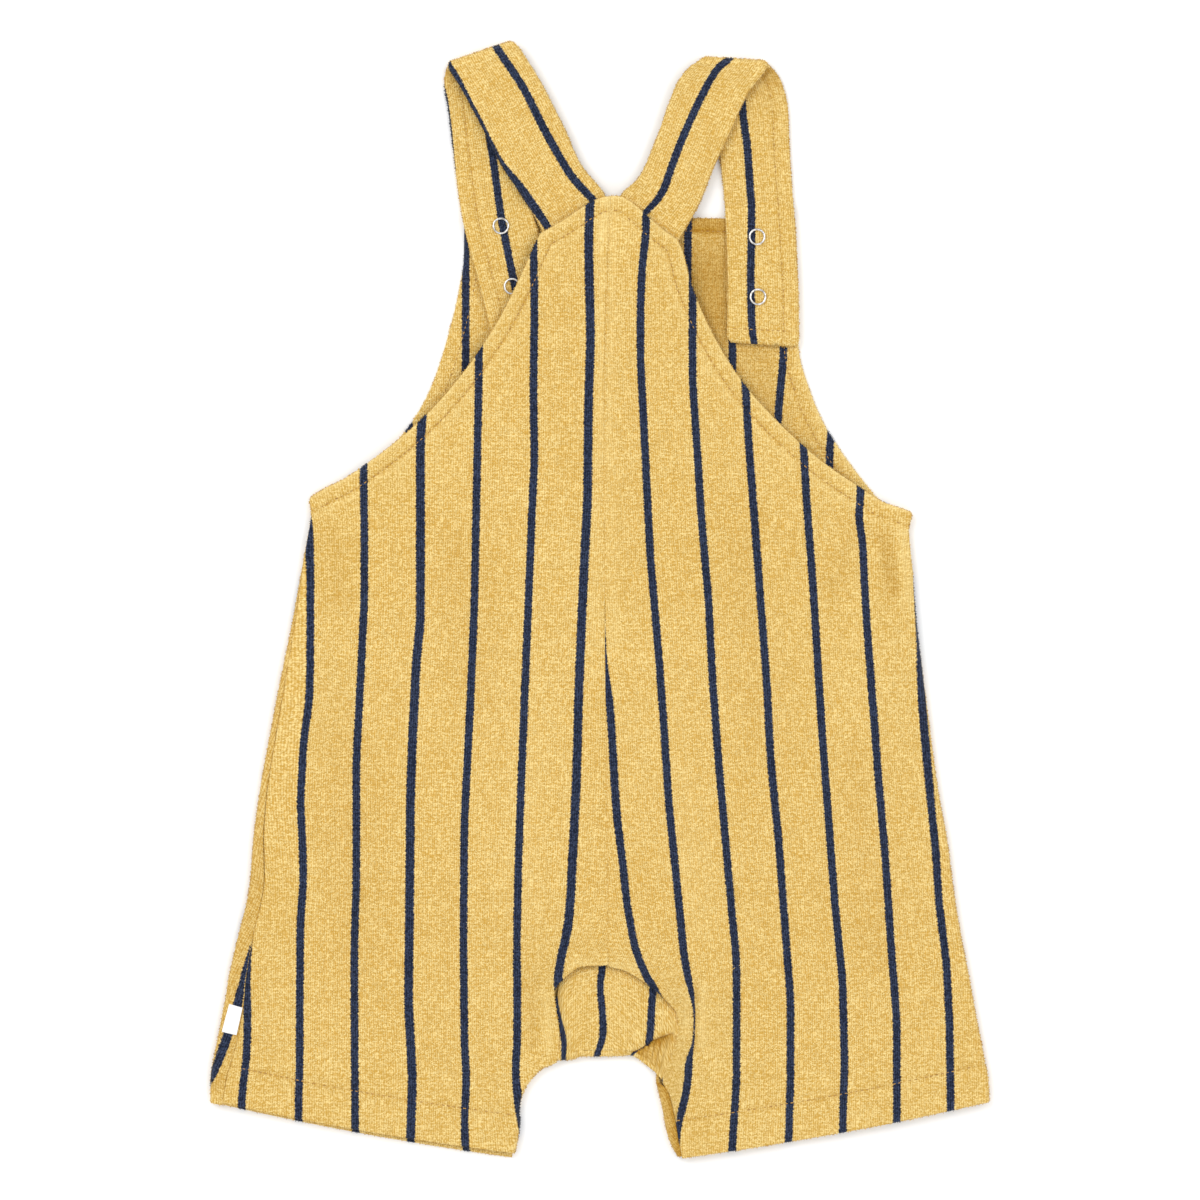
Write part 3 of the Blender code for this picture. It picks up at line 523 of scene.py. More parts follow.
def hump(distance, width):
    """1 on a line, and less the further away from it."""
    return np.exp(-((distance / width) ** 2))


def unit(vector):
    return vector / np.linalg.norm(vector)


def to_segment(x, y, x1, y1, x2, y2):
    """The nearest place on a straight line, as a share of its length, and how far away it is."""
    length = max((x2 - x1) ** 2 + (y2 - y1) ** 2, 1e-9)
    along = np.clip(((x - x1) * (x2 - x1) + (y - y1) * (y2 - y1)) / length, 0, 1)
    return along, np.hypot(x - x1 - along * (x2 - x1), y - y1 - along * (y2 - y1))


def fold_height(x, y, folds):
    """The sum of soft ridges and troughs, each along its line."""
    z = 0.0
    for x1, y1, x2, y2, width, height in zip(*folds.values()):
        z = z + height * hump(to_segment(x, y, x1, y1, x2, y2)[1], width)
    return z


def back_level(x, y):
    """Height of the middle of the back's wall."""
    return BACK_MID + TIP_RISE * smoothstep(TIP_RISE_FROM, TIP_RISE_TO, y) + fold_height(x, y, FOLDS)


def front_level(x, y):
    """Height of the middle of the front's wall, which lies flat on the floor."""
    return np.full(np.broadcast(x, y).shape, FRONT_MID)


def rail(*parts):
    """One rail out of several size charts, with 0 for any column that a chart leaves out."""
    columns = ("x", "y", "seam", "roll", "bow")
    return {key: [v for part in parts for v in part.get(key, [0.0] * len(part["x"]))] for key in columns}


def centre_rail(layer):
    return {"x": CENTRE[layer + "_x"], "y": CENTRE[layer + "_y"]}


def course_marks(out_rail, in_rail, pitch):
    """Fractional row numbers of the courses: about a pitch apart, closer beside the first and the last."""
    ends = [np.stack([r["x"], r["y"]], axis=1) for r in (out_rail, in_rail)]
    runs = np.mean([np.linalg.norm(np.diff(e, axis=0), axis=1) for e in ends], axis=0)
    marks = []
    for i, run in enumerate(runs):
        marks += list(i + np.arange(max(1, round(run / pitch))) / max(1, round(run / pitch)))
    last = float(len(runs))
    near = [d / runs[0] for d in EDGE_MARKS[1:]] + [last - d / runs[-1] for d in EDGE_MARKS[1:]]
    clear = EDGE_MARKS[-1] * NEXT_COURSE
    marks = [m for m in marks if clear / runs[0] < m < last - clear / runs[-1]]
    return sorted([0.0, last] + near + marks)


def end_of(ends, t, layer):
    """One end of a course: (x, y), where its flat part starts, how far it turns and how far it runs back."""
    size = {key: float(smooth(values, t)) for key, values in ends.items()}
    radius = (back_level(size["x"], size["y"]) - FRONT_MID) / 2
    half_way = math.pi * ROLL_RADIUS
    from_top = -size["seam"]
    reach = from_top if layer == "back" else half_way - from_top
    reach -= ROLL_SEAM_GAP / 2
    inset = radius + CLOTH / 2 + max(-reach, 0.0)
    turn = min(max(reach, 0.0), half_way) / ROLL_RADIUS
    roll = max(size["roll"], 0.0)
    over = max(reach - half_way, 0.0) if roll > 0.99 else 0.0
    return np.array([size["x"], size["y"]]), inset * roll, turn * roll, over


def turned_end(end, inward, level, far_level):
    """Points of one end of a course, from its tip inwards, and where its flat part starts."""
    place, inset, turn, over = end
    start = place + inward * inset
    base = level(*start)
    radius = (far_level(*start) - base) / 2
    phi = turn * np.linspace(1, 0, ARC_STEPS + 1)
    plan = start - inward * abs(radius) * np.sin(phi)[:, None]
    points = np.column_stack([plan, base + radius * (1 - np.cos(phi))])
    if over > 0.05:
        back = start + inward * over * np.linspace(1, 0.25, 4)[:, None]
        points = np.concatenate([np.column_stack([back, far_level(*back.T)]), points])
    return points, start


def run_of(points):
    """Length of a path."""
    return np.linalg.norm(np.diff(points, axis=0), axis=1).sum()


def spaced(path, columns):
    """A path in that many points, closer where it bends, with their places along it and its length."""
    apart = np.linalg.norm(np.diff(path[:, :3], axis=0), axis=1) > 1e-4
    path = path[np.concatenate([[True], apart])]
    runs = np.diff(path[:, :3], axis=0)
    lengths = np.linalg.norm(runs, axis=1)
    place = np.concatenate([[0], np.cumsum(lengths)])
    heading = runs / lengths[:, None]
    bend = np.zeros(len(path))
    bend[1:-1] = np.arccos(np.clip((heading[1:] * heading[:-1]).sum(axis=1), -1, 1))
    cost = np.concatenate([[0], np.cumsum(lengths + BEND_WEIGHT * (bend[1:] + bend[:-1]) / 2)])
    edges = [min(d, place[-1] * 0.1) for d in EDGE_MARKS]
    clear = edges[-1] * NEXT_POINT
    low, high = np.interp([clear, place[-1] - clear], place, cost)
    inner = np.interp(np.linspace(low, high, columns + 1 - 2 * len(edges)), cost, place)
    marks = np.concatenate([edges, inner, [place[-1] - d for d in edges[::-1]]])
    carried = [np.interp(marks, place, path[:, k]) for k in range(path.shape[1])]
    return np.stack(carried, axis=1), marks, place[-1]


def course(out_rail, in_rail, t, layer, columns):
    """One course as 3-D points from its outer to its inner end, and its plan with the ends unrolled."""
    level, far_level = (back_level, front_level) if layer == "back" else (front_level, back_level)
    out_end = end_of(out_rail, t, layer)
    in_end = end_of(in_rail, t, layer)
    direction = unit(in_end[0] - out_end[0])
    first, begin = turned_end(out_end, direction, level, far_level)
    last, finish = turned_end(in_end, -direction, level, far_level)
    bow = float(smooth(out_rail["bow"], t))
    u = np.arange(1, DENSE_STEPS) / DENSE_STEPS
    middle = begin + (finish - begin) * u[:, None]
    middle[:, 1] -= bow * (4 * u * (1 - u) if bow > 0 else np.sin(math.pi * u**TIP_SKEW))
    middle = np.column_stack([middle, level(*middle.T)])
    points, marks, whole = spaced(np.concatenate([first, middle, last[::-1]]), columns)
    turned, turned_in = run_of(first), run_of(last)
    plan = points[:, :2].copy()
    before, after = marks < turned, marks > whole - turned_in
    plan[before] = begin + direction * (marks[before] - turned)[:, None]
    plan[after] = finish + direction * (marks[after] - whole + turned_in)[:, None]
    return points, plan


class Sheet:
    """A grid of points with what each one carries: its unrolled plan, the shading painted on its upper and
    its under side (painted shade, and painted highlight below 0), and how far it is from each edge."""

    def __init__(self, points, plan):
        self.points = np.array(points)
        self.plan = np.array(plan)
        self.painted_shading = np.zeros(self.points.shape[:2])
        self.painted_shading_under = np.zeros(self.points.shape[:2])
        across = np.linalg.norm(np.diff(self.points, axis=1), axis=2)
        down = np.linalg.norm(np.diff(self.points, axis=0), axis=2)
        zero_column = np.zeros((len(self.points), 1))
        zero_row = np.zeros((1, self.points.shape[1]))
        self.from_outer = np.concatenate([zero_column, np.cumsum(across, axis=1)], axis=1)
        self.from_inner = self.from_outer[:, -1:] - self.from_outer
        self.from_hem = np.concatenate([zero_row, np.cumsum(down, axis=0)], axis=0)
        self.from_top = self.from_hem[-1:] - self.from_hem


def panel_sheet(out_rail, in_rail, layer, columns, pitch):
    """A panel's sheet, and the row of the rails' charts at which each of its courses lies."""
    marks = course_marks(out_rail, in_rail, pitch)
    made = [course(out_rail, in_rail, t, layer, columns) for t in marks]
    return Sheet([m[0] for m in made], [m[1] for m in made]), np.array(marks)


def grid_quads(rows, columns, start):
    """Faces of a grid whose points are numbered row by row from start."""
    index = np.arange(rows * columns).reshape(rows, columns) + start
    return np.stack([index[:-1, :-1], index[:-1, 1:], index[1:, 1:], index[1:, :-1]], axis=2).reshape(-1, 4)


def welded(points, carried, quads):
    """Joins the points that fall together, and drops the faces that lose a corner by it."""
    place = np.round(points / WELD).astype(np.int64)
    _, first, same = np.unique(place, axis=0, return_index=True, return_inverse=True)
    quads = same.reshape(-1)[quads]
    whole = (np.diff(np.sort(quads, axis=1), axis=1) > 0).all(axis=1)
    return points[first], carried[first], quads[whole]


def rim_of(quads):
    """The steps from point to point that only one face has: the sheet's free edges."""
    steps = np.concatenate([quads[:, [0, 1]], quads[:, [1, 2]], quads[:, [2, 3]], quads[:, [3, 0]]])
    _, back, uses = np.unique(np.sort(steps, axis=1), axis=0, return_inverse=True, return_counts=True)
    return steps[uses[back.reshape(-1)] == 1]


def shell(name, sheets, edges, swell=None, wall=CLOTH):
    """A closed shell round the sheets. edges(sheet) gives (distance, round, how deep) for each edge, and
    swell(sheet) how far the upper side stands proud. Also gives, for each point of the shell, its unrolled
    plan, its place in the middle of the wall, and the shading painted on it."""
    points, carried, quads, start = [], [], [], 0
    for sheet in sheets:
        near = sum(np.clip(1 - distance / size, 0, 1) ** 2 * deep for distance, size, deep in edges(sheet))
        half = wall / 2 * np.sqrt(np.clip(1 - near, THIN_EDGE, 1))
        proud = swell(sheet) if swell else np.zeros(half.shape)
        points.append(sheet.points.reshape(-1, 3))
        columns = [sheet.plan, half, proud, sheet.painted_shading, sheet.painted_shading_under]
        carried.append(np.dstack(columns).reshape(-1, 6))
        quads.append(grid_quads(*half.shape, start))
        start += half.size
    points, carried, quads = welded(*(np.concatenate(part) for part in (points, carried, quads)))
    plan, half, proud = carried[:, :2], carried[:, 2], carried[:, 3]
    normals = corner_normals(points, quads)
    if normals[:, 2].mean() < 0:
        quads, normals = quads[:, ::-1], -normals
    upper = points + normals * (half + proud)[:, None]
    lower = points - normals * half[:, None]
    for side in (upper, lower):
        side[:, 2] = np.maximum(side[:, 2], 0)
    rim, count = rim_of(quads), len(points)
    rim_quads = np.stack([rim[:, 1], rim[:, 0], rim[:, 0] + count, rim[:, 1] + count], axis=1)
    faces = np.concatenate([quads, quads[:, ::-1] + count, rim_quads])
    piece = piece_of(name, mesh_of(name, np.concatenate([upper, lower]), faces))
    return piece, np.tile(plan, (2, 1)), np.tile(points, (2, 1)), carried[:, 4:].T.ravel()


def corner_normals(points, quads):
    across = points[quads[:, 2]] - points[quads[:, 0]]
    down = points[quads[:, 3]] - points[quads[:, 1]]
    face = np.cross(across, down)
    normals = np.zeros_like(points)
    for k in range(4):
        np.add.at(normals, quads[:, k], face)
    return normals / np.maximum(np.linalg.norm(normals, axis=1), 1e-9)[:, None]


def mesh_of(name, points, faces):
    """A mesh from points in millimetres and faces that all have as many corners."""
    faces = np.asarray(faces)
    mesh = bpy.data.meshes.new(name)
    mesh.vertices.add(len(points))
    mesh.vertices.foreach_set("co", (np.asarray(points) * MM).astype(np.float32).ravel())
    mesh.loops.add(faces.size)
    mesh.loops.foreach_set("vertex_index", faces.astype(np.int32).ravel())
    mesh.polygons.add(len(faces))
    mesh.polygons.foreach_set("loop_start", np.arange(0, faces.size, faces.shape[1], dtype=np.int32))
    mesh.polygons.foreach_set("loop_total", np.full(len(faces), faces.shape[1], np.int32))
    mesh.update(calc_edges=True)
    mesh.validate()
    mesh.shade_smooth()
    return mesh


def piece_of(name, mesh):
    piece = bpy.data.objects.new(name, mesh)
    bpy.context.scene.collection.objects.link(piece)
    return piece


def read(items, key, width=1, kind=np.float32):
    """What a mesh holds under that name for each item: a number, or a row of as many as width."""
    values = np.zeros(len(items) * width, kind)
    items.foreach_get(key, values)
    return values.reshape(-1, width) if width > 1 else values


def lay_pattern(piece, across, along, stripe_edge, painted_shading):
    """Gives each point its place in the knit, in metres, how far it is outside a stripe's edge, in mm, and
    the shading painted on it: painted shade, or painted highlight below 0."""
    mesh = piece.data
    corner = read(mesh.loops, "vertex_index", kind=np.int32)
    knit = np.stack([across, along], axis=1) * MM
    layer = mesh.uv_layers.new(name="knit")
    layer.data.foreach_set("uv", knit[corner].astype(np.float32).ravel())
    for name, values in (("stripe_edge", np.clip(stripe_edge, -NO_STRIPE, NO_STRIPE)), ("painted_shading", painted_shading)):
        made = mesh.attributes.new(name, "FLOAT", "POINT")
        made.data.foreach_set("value", np.asarray(values, np.float32))


def charted(stripe, columns=2):
    """A stripe's (x, y) in millimetres, from its chart, or its (x, y, half width)."""
    steps = np.array(stripe, float).reshape(-1, columns)
    steps[:, 0] = (steps[:, 0] + 0.5 - HALF_CHART) * STEP
    steps[:, 1] = (HALF_CHART - steps[:, 1] - 0.5) * STEP
    steps[:, 2:] *= STEP / 2
    return steps


def stripe_places(stripes, y):
    """x of each stripe at the heights y, eased where it bends, and how much it slants."""
    fine = np.linspace(CHART_REACH, -CHART_REACH, 2 * CHART_REACH + 1)
    places, slants = [], []
    for stripe in stripes:
        line = charted(stripe)
        x = np.interp(fine, line[::-1, 1], line[::-1, 0])
        for low, high in ((line[0], line[1]), (line[-1], line[-2])):
            slope = (high[0] - low[0]) / (high[1] - low[1])
            past = fine > low[1] if low[1] > high[1] else fine < low[1]
            x[past] = low[0] + slope * (fine[past] - low[1])
        x = np.convolve(np.pad(x, EASED_OVER // 2, mode="edge"), np.full(EASED_OVER, 1 / EASED_OVER), "valid")
        places.append(np.interp(y, fine[::-1], x[::-1]))
        slants.append(np.interp(y, fine[::-1], np.gradient(x, fine)[::-1]))
    return np.array(places), np.array(slants)


def upright_stripes(stripes, x, y, width=None):
    """(place across the knit, distance outside a stripe's edge) for stripes that run up the piece. width(y)
    is the share of each one's width that shows at the heights y."""
    places, slants = stripe_places(stripes, y)
    half = np.full(places.shape, STRIPE / 2) if width is None else width(y) * STRIPE / 2
    edge = (np.abs(x - places) / np.hypot(1, slants) - half).min(axis=0)
    left = np.clip((places <= x).sum(axis=0) - 1, 0, len(places) - 2)
    low = np.take_along_axis(places, left[None], axis=0)[0]
    high = np.take_along_axis(places, left[None] + 1, axis=0)[0]
    return (left + (x - low) / np.maximum(high - low, 5.0)) * REPEAT, edge


def lying_stripes(stripes, x, y):
    """Distance outside a stripe's edge, for stripes that run any way."""
    best = np.full(len(x), NO_STRIPE)
    for stripe in stripes:
        line = charted(stripe, 3)
        for _ in range(2):
            cut = [line[:-1] * 0.75 + line[1:] * 0.25, line[:-1] * 0.25 + line[1:] * 0.75]
            line = np.concatenate([line[:1], np.stack(cut, axis=1).reshape(-1, 3), line[-1:]])
        for (x1, y1, half1), (x2, y2, half2) in zip(line, line[1:]):
            along, away = to_segment(x, y, x1, y1, x2, y2)
            best = np.minimum(best, away - half1 - along * (half2 - half1))
    return best


def turned_band(distance, turn, height):
    """How far a turned edge stands proud: full inside its stitches, with a groove along them."""
    band = height * (1 - smoothstep(turn - 0.6, turn + 0.9, distance))
    return band - 0.35 * hump(distance - turn, GROOVE)


def painted_groove_shade(distance, turn, amount):
    """Painted shade along a row of stitches, in its groove."""
    return amount * hump(distance - turn, GROOVE)


def painted_rim_highlight(distance, amount=0.45):
    """Painted highlight along a turned edge: the shading goes below 0 there."""
    return -amount * hump(distance, 1.7)


def armhole_line(out_rail, side_rows):
    """The armhole's edge in plan, from the underarm up, led on past the side so that stitches reach it."""
    marks = np.linspace(side_rows - ARMHOLE_FROM, len(out_rail["x"]) - 1, 90)
    line = np.stack([smooth(out_rail["x"], marks), smooth(out_rail["y"], marks)], axis=1)
    return np.concatenate([[line[0] + unit(line[0] - line[6]) * LED_PAST], line])


def set_in(line, distance):
    """The line moved that far down and in, and cut where it comes too near to the edge."""
    heading = np.gradient(line, axis=0)
    heading /= np.linalg.norm(heading, axis=1)[:, None]
    inward = np.stack([heading[:, 1], -heading[:, 0]], axis=1)
    moved = line + inward * distance * np.sign(heading[:, :1].mean())
    return moved[line_distance(moved[:, 0], moved[:, 1], line) > distance - 0.15]


def line_distance(x, y, line):
    """Distance in plan from a line of many points."""
    best = np.full(x.shape, FAR_AWAY)
    for (x1, y1), (x2, y2) in zip(line, line[1:]):
        best = np.minimum(best, to_segment(x, y, x1, y1, x2, y2)[1])
    return best


def edge_distance(sheet, marks, line, side_rows):
    """Distance in plan from a turned edge, for the courses that come near it."""
    away = np.full(sheet.points.shape[:2], FAR_AWAY)
    near = marks > side_rows - ARMHOLE_NEAR
    away[near] = line_distance(sheet.points[near][..., 0], sheet.points[near][..., 1], line)
    return away


def hem_line(sheet, distance):
    """The line across a sheet, that far above its hem, without the ends that turn under."""
    rows = []
    for k in range(sheet.points.shape[1]):
        column = sheet.points[:, k]
        rows.append([np.interp(distance, sheet.from_hem[:, k], column[:, axis]) for axis in range(3)])
    rows = np.array(rows)
    flat = np.abs(np.gradient(rows[:, 2])) < 0.12
    return rows[flat][:, :2]


def make_back_half(name, out_rail, in_rail, stripes, width):
    """One half of the back. The two halves butt along the centre seam."""
    on_right = out_rail["x"][0] > 0
    apart = CENTRE_GAP if on_right else -CENTRE_GAP
    in_rail = dict(in_rail, x=[x + apart for x in in_rail["x"]])
    sheet, marks = panel_sheet(out_rail, in_rail, "back", BACK_COLUMNS, COURSE_PITCH)
    side_rows = len(out_rail["x"]) - ARMHOLE_ROWS
    is_armhole = (marks > side_rows - 2)[:, None]
    is_centre = (marks > len(in_rail["x"]) - len(CENTRE["back_x"]))[:, None]
    runs_on = (on_right & (marks > WING_ROWS[0]) & (marks < WING_ROWS[1]))[:, None]
    turned = np.concatenate([armhole_line(out_rail, side_rows)[:-1], sheet.points[-1][:, :2]])
    armhole = edge_distance(sheet, marks, turned, side_rows)
    # Painted shade along the rows of stitches, the seams and the troughs; painted highlight along the turned
    # edges and on ridges.
    sheet.painted_shading = painted_groove_shade(armhole, ARMHOLE_TURN, 0.3) + painted_groove_shade(sheet.from_hem, HEM_TURN, 0.3)
    sheet.painted_shading += painted_rim_highlight(armhole) * is_armhole + painted_rim_highlight(armhole - ARMHOLE_TURN - 2.2, 0.2)
    sheet.painted_shading += np.where(runs_on, 0, 0.12) * hump(sheet.from_inner, 0.5)
    sheet.painted_shading += 0.3 * hump(sheet.from_outer, 0.5)
    sheet.painted_shading += fold_height(sheet.points[..., 0], sheet.points[..., 1], PAINTED_SHADES)

    def edges(s):
        outer = (np.where(is_armhole, EDGE_ROUND, SEAM_ROUND), np.where(is_armhole, 1, SEAM_DEEP))
        inner_round = np.where(is_centre, BUTT_ROUND, np.where(runs_on, WING_TAPER, SEAM_ROUND))
        inner = (inner_round, np.where(is_centre, BUTT_DEEP, 1))
        ends = [(s.from_hem, EDGE_ROUND, 1), (s.from_top, EDGE_ROUND, 1)]
        return [(s.from_outer, *outer), (s.from_inner, *inner)] + ends

    def swell(s):
        return turned_band(s.from_hem, HEM_TURN, 0.3) + turned_band(armhole, ARMHOLE_TURN, 0.45)

    piece, plan, _, painted_shading = shell(name, [sheet], edges, swell)
    across, stripe_edge = upright_stripes(stripes, plan[:, 0], plan[:, 1], width)
    lay_pattern(piece, across, plan[:, 1], stripe_edge, painted_shading)
    rows = [set_in(turned, ARMHOLE_TURN), hem_line(sheet, HEM_TURN)]
    return piece, [laid_on(piece, row) for row in rows]


def shifted_hem(ends, shift):
    """A rail whose first row, at the hem, is moved by that much."""
    x, y = ends["x"], ends["y"]
    return dict(ends, x=[x[0] + shift[0]] + x[1:], y=[y[0] + shift[1]] + y[1:])


def front_half(side, out_rail, in_rail):
    """One half of the front as a sheet, and its rows of stitches in plan."""
    out_rail = shifted_hem(out_rail, FRONT_HEM_SHIFT[side][0])
    in_rail = shifted_hem(in_rail, FRONT_HEM_SHIFT[side][1])
    sheet, marks = panel_sheet(out_rail, in_rail, "front", FRONT_COLUMNS, FRONT_PITCH)
    side_rows = len(out_rail["x"]) - ARMHOLE_ROWS
    armhole = armhole_line(out_rail, side_rows)
    sheet.open_inner = (marks < len(in_rail["x"]) - len(CENTRE["front_x"]) - 0.001)[:, None]
    sheet.is_armhole = (marks > side_rows - 2)[:, None]
    sheet.armhole = edge_distance(sheet, marks, armhole, side_rows)
    # The bib's painted shade: beside the back's edge and under the straps, deeper at the top, in the turned
    # band and along the stitches; painted highlight along the armhole.
    full_at, deepest = BIB_SHADE[side]
    inside = smoothstep(3, full_at, np.minimum(sheet.armhole, sheet.from_top + 6))
    deeper = smoothstep(100, 125, sheet.points[..., 1]) * (0.1 + 0.9 * smoothstep(6, 22, sheet.from_top))
    shade = (0.05 + inside * (0.22 + deepest * deeper)) * smoothstep(3, 8, sheet.from_hem)
    shade = shade + 0.6 * (sheet.from_top < BIB_TURN) + painted_groove_shade(sheet.from_top, BIB_TURN + 0.3, 0.8)
    sheet.painted_shading = shade + painted_groove_shade(sheet.armhole, ARMHOLE_TURN, 0.3) + painted_rim_highlight(sheet.armhole)
    # The strip turned round onto the back: painted shade beside the right leg, and a painted highlight along
    # the left side.
    if side == "right":  # its strip beside the leg lies in the shade of the back's edge
        strip = (0.3 + 0.7 * hump(sheet.from_inner, 2.6)) * (sheet.from_inner < STRIP_WIDEST)
    else:
        strip = -0.1 * (sheet.from_outer < STRIP_WIDEST)
    sheet.painted_shading_under = strip * (sheet.points[..., 2] > STRIP_ABOVE)
    return sheet, [set_in(armhole, ARMHOLE_TURN), sheet.points[-1][4:, :2] - [0, BIB_TURN]]


def make_front():
    """The front: two halves that share the centre line above the crotch. Its inside shows as the bib."""
    centre = centre_rail("front")
    left = rail(LEFT_SIDE, FRONT_LEFT_ARMHOLE), rail(LEFT_LEG, FRONT_LEFT_GUSSET, centre)
    right = rail(RIGHT_SIDE, FRONT_RIGHT_ARMHOLE), rail(RIGHT_LEG, FRONT_RIGHT_GUSSET, centre)
    halves = [front_half("left", *left), front_half("right", *right)]

    def edges(s):
        inner = np.where(s.open_inner, s.from_inner, FAR_AWAY)
        outer = np.where(s.is_armhole, EDGE_ROUND, SEAM_ROUND)
        deep = np.where(s.is_armhole, 1, SEAM_DEEP)
        rims = [(s.from_hem, EDGE_ROUND, 1), (s.from_top, EDGE_ROUND, 1)]
        return [(s.from_outer, outer, deep), (inner, SEAM_ROUND, SEAM_DEEP)] + rims

    def swell(s):
        return turned_band(s.armhole, ARMHOLE_TURN, 0.4) + turned_band(s.from_top, BIB_TURN, 0.5)

    piece, plan, middle, painted_shading = shell("front_cloth", [sheet for sheet, _ in halves], edges, swell)
    across, inner_edge = upright_stripes(FRONT_STRIPES, plan[:, 0], plan[:, 1])
    wrap_edge = lying_stripes(WRAP_STRIPES, middle[:, 0], middle[:, 1])
    stripe_edge = np.where(middle[:, 2] > STRIP_ABOVE, wrap_edge, inner_edge)
    lay_pattern(piece, across, plan[:, 1], stripe_edge, painted_shading)
    rows = halves[0][1] + halves[1][1] + [SIDE_SEAM]
    return piece, [laid_on(piece, row) for row in rows]


def gusset_section(t):
    """One course of the gusset, from under the back's seam, over its lip and its wing, to its turned-under
    end. The fourth column is the shade painted on it: at the seam, round the lip and on the wing below it."""
    size = {key: float(smooth(values, t)) for key, values in GUSSET.items()}
    top, lip, edge = (np.array([size[place + "_x"], size[place + "_y"]]) for place in ("top", "lip", "edge"))
    heading, down = unit(edge - top), unit(edge - lip)
    lip_z, edge_z, tuck = size["lip_z"], size["edge_z"], size["tuck"]
    angle, nose = math.radians(size["turn"]), math.pi * tuck
    radius = (edge_z - FRONT_MID) / 2
    start = edge - down * (radius + CLOTH / 2) * math.sin(min(angle, math.pi / 2))
    crest = lip - down * LIP_ROUND * math.sin(min(nose, math.pi / 2))
    # From under the seam to the lip.
    u = np.arange(DENSE_STEPS) / DENSE_STEPS
    rise = GUSSET_TOP_Z + (lip_z - GUSSET_TOP_Z) * smoothstep(0.05, 0.8, u)
    rise = rise + size["crown"] * np.sin(math.pi * u**0.8) ** 2 * 0.5
    # Painted shade along the seam at the top.
    parts = [np.column_stack([top + (crest - top) * u[:, None], rise, 0.5 * hump(u * 14, 1)])]
    # The lip, which tucks under.
    phi = nose * np.linspace(0, 1, 12)
    under = crest + down * LIP_ROUND * np.sin(phi)[:, None]
    level = lip_z - LIP_ROUND * (1 - np.cos(phi))
    # Painted shade deepens as the lip tucks under.
    parts.append(np.column_stack([under, level, 1.2 * tuck * phi / math.pi]))
    # The wing, with its small pleats, in the lip's shade.
    low = level[-1]
    run = start - under[-1]
    u = np.linspace(0.04, 1, 16)
    pleats = np.sin(2 * math.pi * t * 1.35 + 2.0 * u) * np.sin(math.pi * u) * tuck
    rise = low + (edge_z - low) * smoothstep(0.1, 0.75, u) + 0.3 * pleats
    # deep is the painted shade on the wing, darkest just under the lip, and on its pleats.
    deep = tuck * (0.5 + 1.1 * hump(u * np.linalg.norm(run), 5.0) - 0.3 * pleats)
    parts.append(np.column_stack([under[-1] + run * u[:, None], rise, deep]))
    # The edge, turned under, and what runs back along the floor.
    phi = angle * np.linspace(0.08, 1, ARC_STEPS) if angle > 0.02 else np.zeros(1)
    under = start + down * radius * np.sin(phi)[:, None]
    parts.append(np.column_stack([under, edge_z - radius * (1 - np.cos(phi)), 0 * phi]))
    if size["over"] > 0.1:
        back = under[-1] - heading * size["over"] * np.linspace(0.25, 1, 4)[:, None]
        parts.append(np.column_stack([back, np.full(4, FRONT_MID), np.zeros(4)]))
    return np.concatenate(parts)


def make_gusset():
    """The gusset, whose knit runs across the romper like the panels' own."""
    points, plan, painted_shading = [], [], []
    for t in np.linspace(0, len(GUSSET["top_x"]) - 1, GUSSET_COURSES):
        section, marks, _ = spaced(gusset_section(t), GUSSET_COLUMNS)
        points.append(section[:, :3])
        plan.append(np.column_stack([section[:, 0], -marks]))
        painted_shading.append(section[:, 3])
    sheet = Sheet(points, plan)
    sheet.painted_shading = np.array(painted_shading)

    def edges(s):
        sides = (s.from_outer, s.from_inner, s.from_hem, s.from_top)
        return [(side, SEAM_ROUND, SEAM_DEEP) for side in sides]

    piece, plan, middle, painted_shading = shell("gusset_cloth", [sheet], edges)
    stripe_edge = lying_stripes(GUSSET_STRIPES, middle[:, 0], middle[:, 1])
    lay_pattern(piece, plan[:, 0], plan[:, 1], stripe_edge, painted_shading)
    return piece


# Each strap's middle line, from its root under the back's tip to the shoulder fold, then to its free end.
LEFT_STRAP_UP = table(
    "x y z across width",
    (-10.4, 158.2, 4.4, 27.0, 27.5),
    (-11.3, 165.6, 4.4, 28.5, 31.4),
    (-20.7, 180.1, 5.0, 31.0, 28.8),
    (-29.9, 197.0, 5.2, 31.0, 31.6),
    (-39.2, 215.1, 5.5, 29.0, 31.4),
    (-45.6, 226.2, 5.7, 25.0, 30.8),
    (-51.2, 234.8, 5.8, 18.5, 31.3),
)
LEFT_STRAP_DOWN = table(
    "x y z across width",
    (-51.2, 234.8, 1.4, 18.5, 31.3),
    (-51.8, 225.8, 1.5, 12.0, 31.2),
    (-49.9, 210.7, 1.4, 6.0, 30.6),
    (-47.3, 189.2, 1.4, 6.0, 30.6),
    (-45.4, 172.4, 1.4, 8.0, 30.0),
    (-43.8, 164.4, 3.3, 10.0, 30.2),
    (-41.3, 154.8, 3.3, 13.0, 30.6),
    (-35.7, 133.3, 3.3, 14.0, 30.6),
    (-30.1, 110.5, 3.3, 14.0, 30.6),
)
RIGHT_STRAP_UP = table(
    "x y z across width",
    (18.8, 157.0, 4.4, -34.0, 28.5),
    (21.7, 164.6, 4.4, -36.0, 31.6),
    (29.7, 175.9, 4.6, -29.0, 28.3),
    (36.3, 191.4, 4.9, -27.0, 27.7),
    (42.6, 206.8, 5.3, -22.0, 29.1),
    (48.8, 220.6, 5.7, -12.0, 30.1),
    (58.0, 231.6, 5.8, -3.5, 32.6),
)
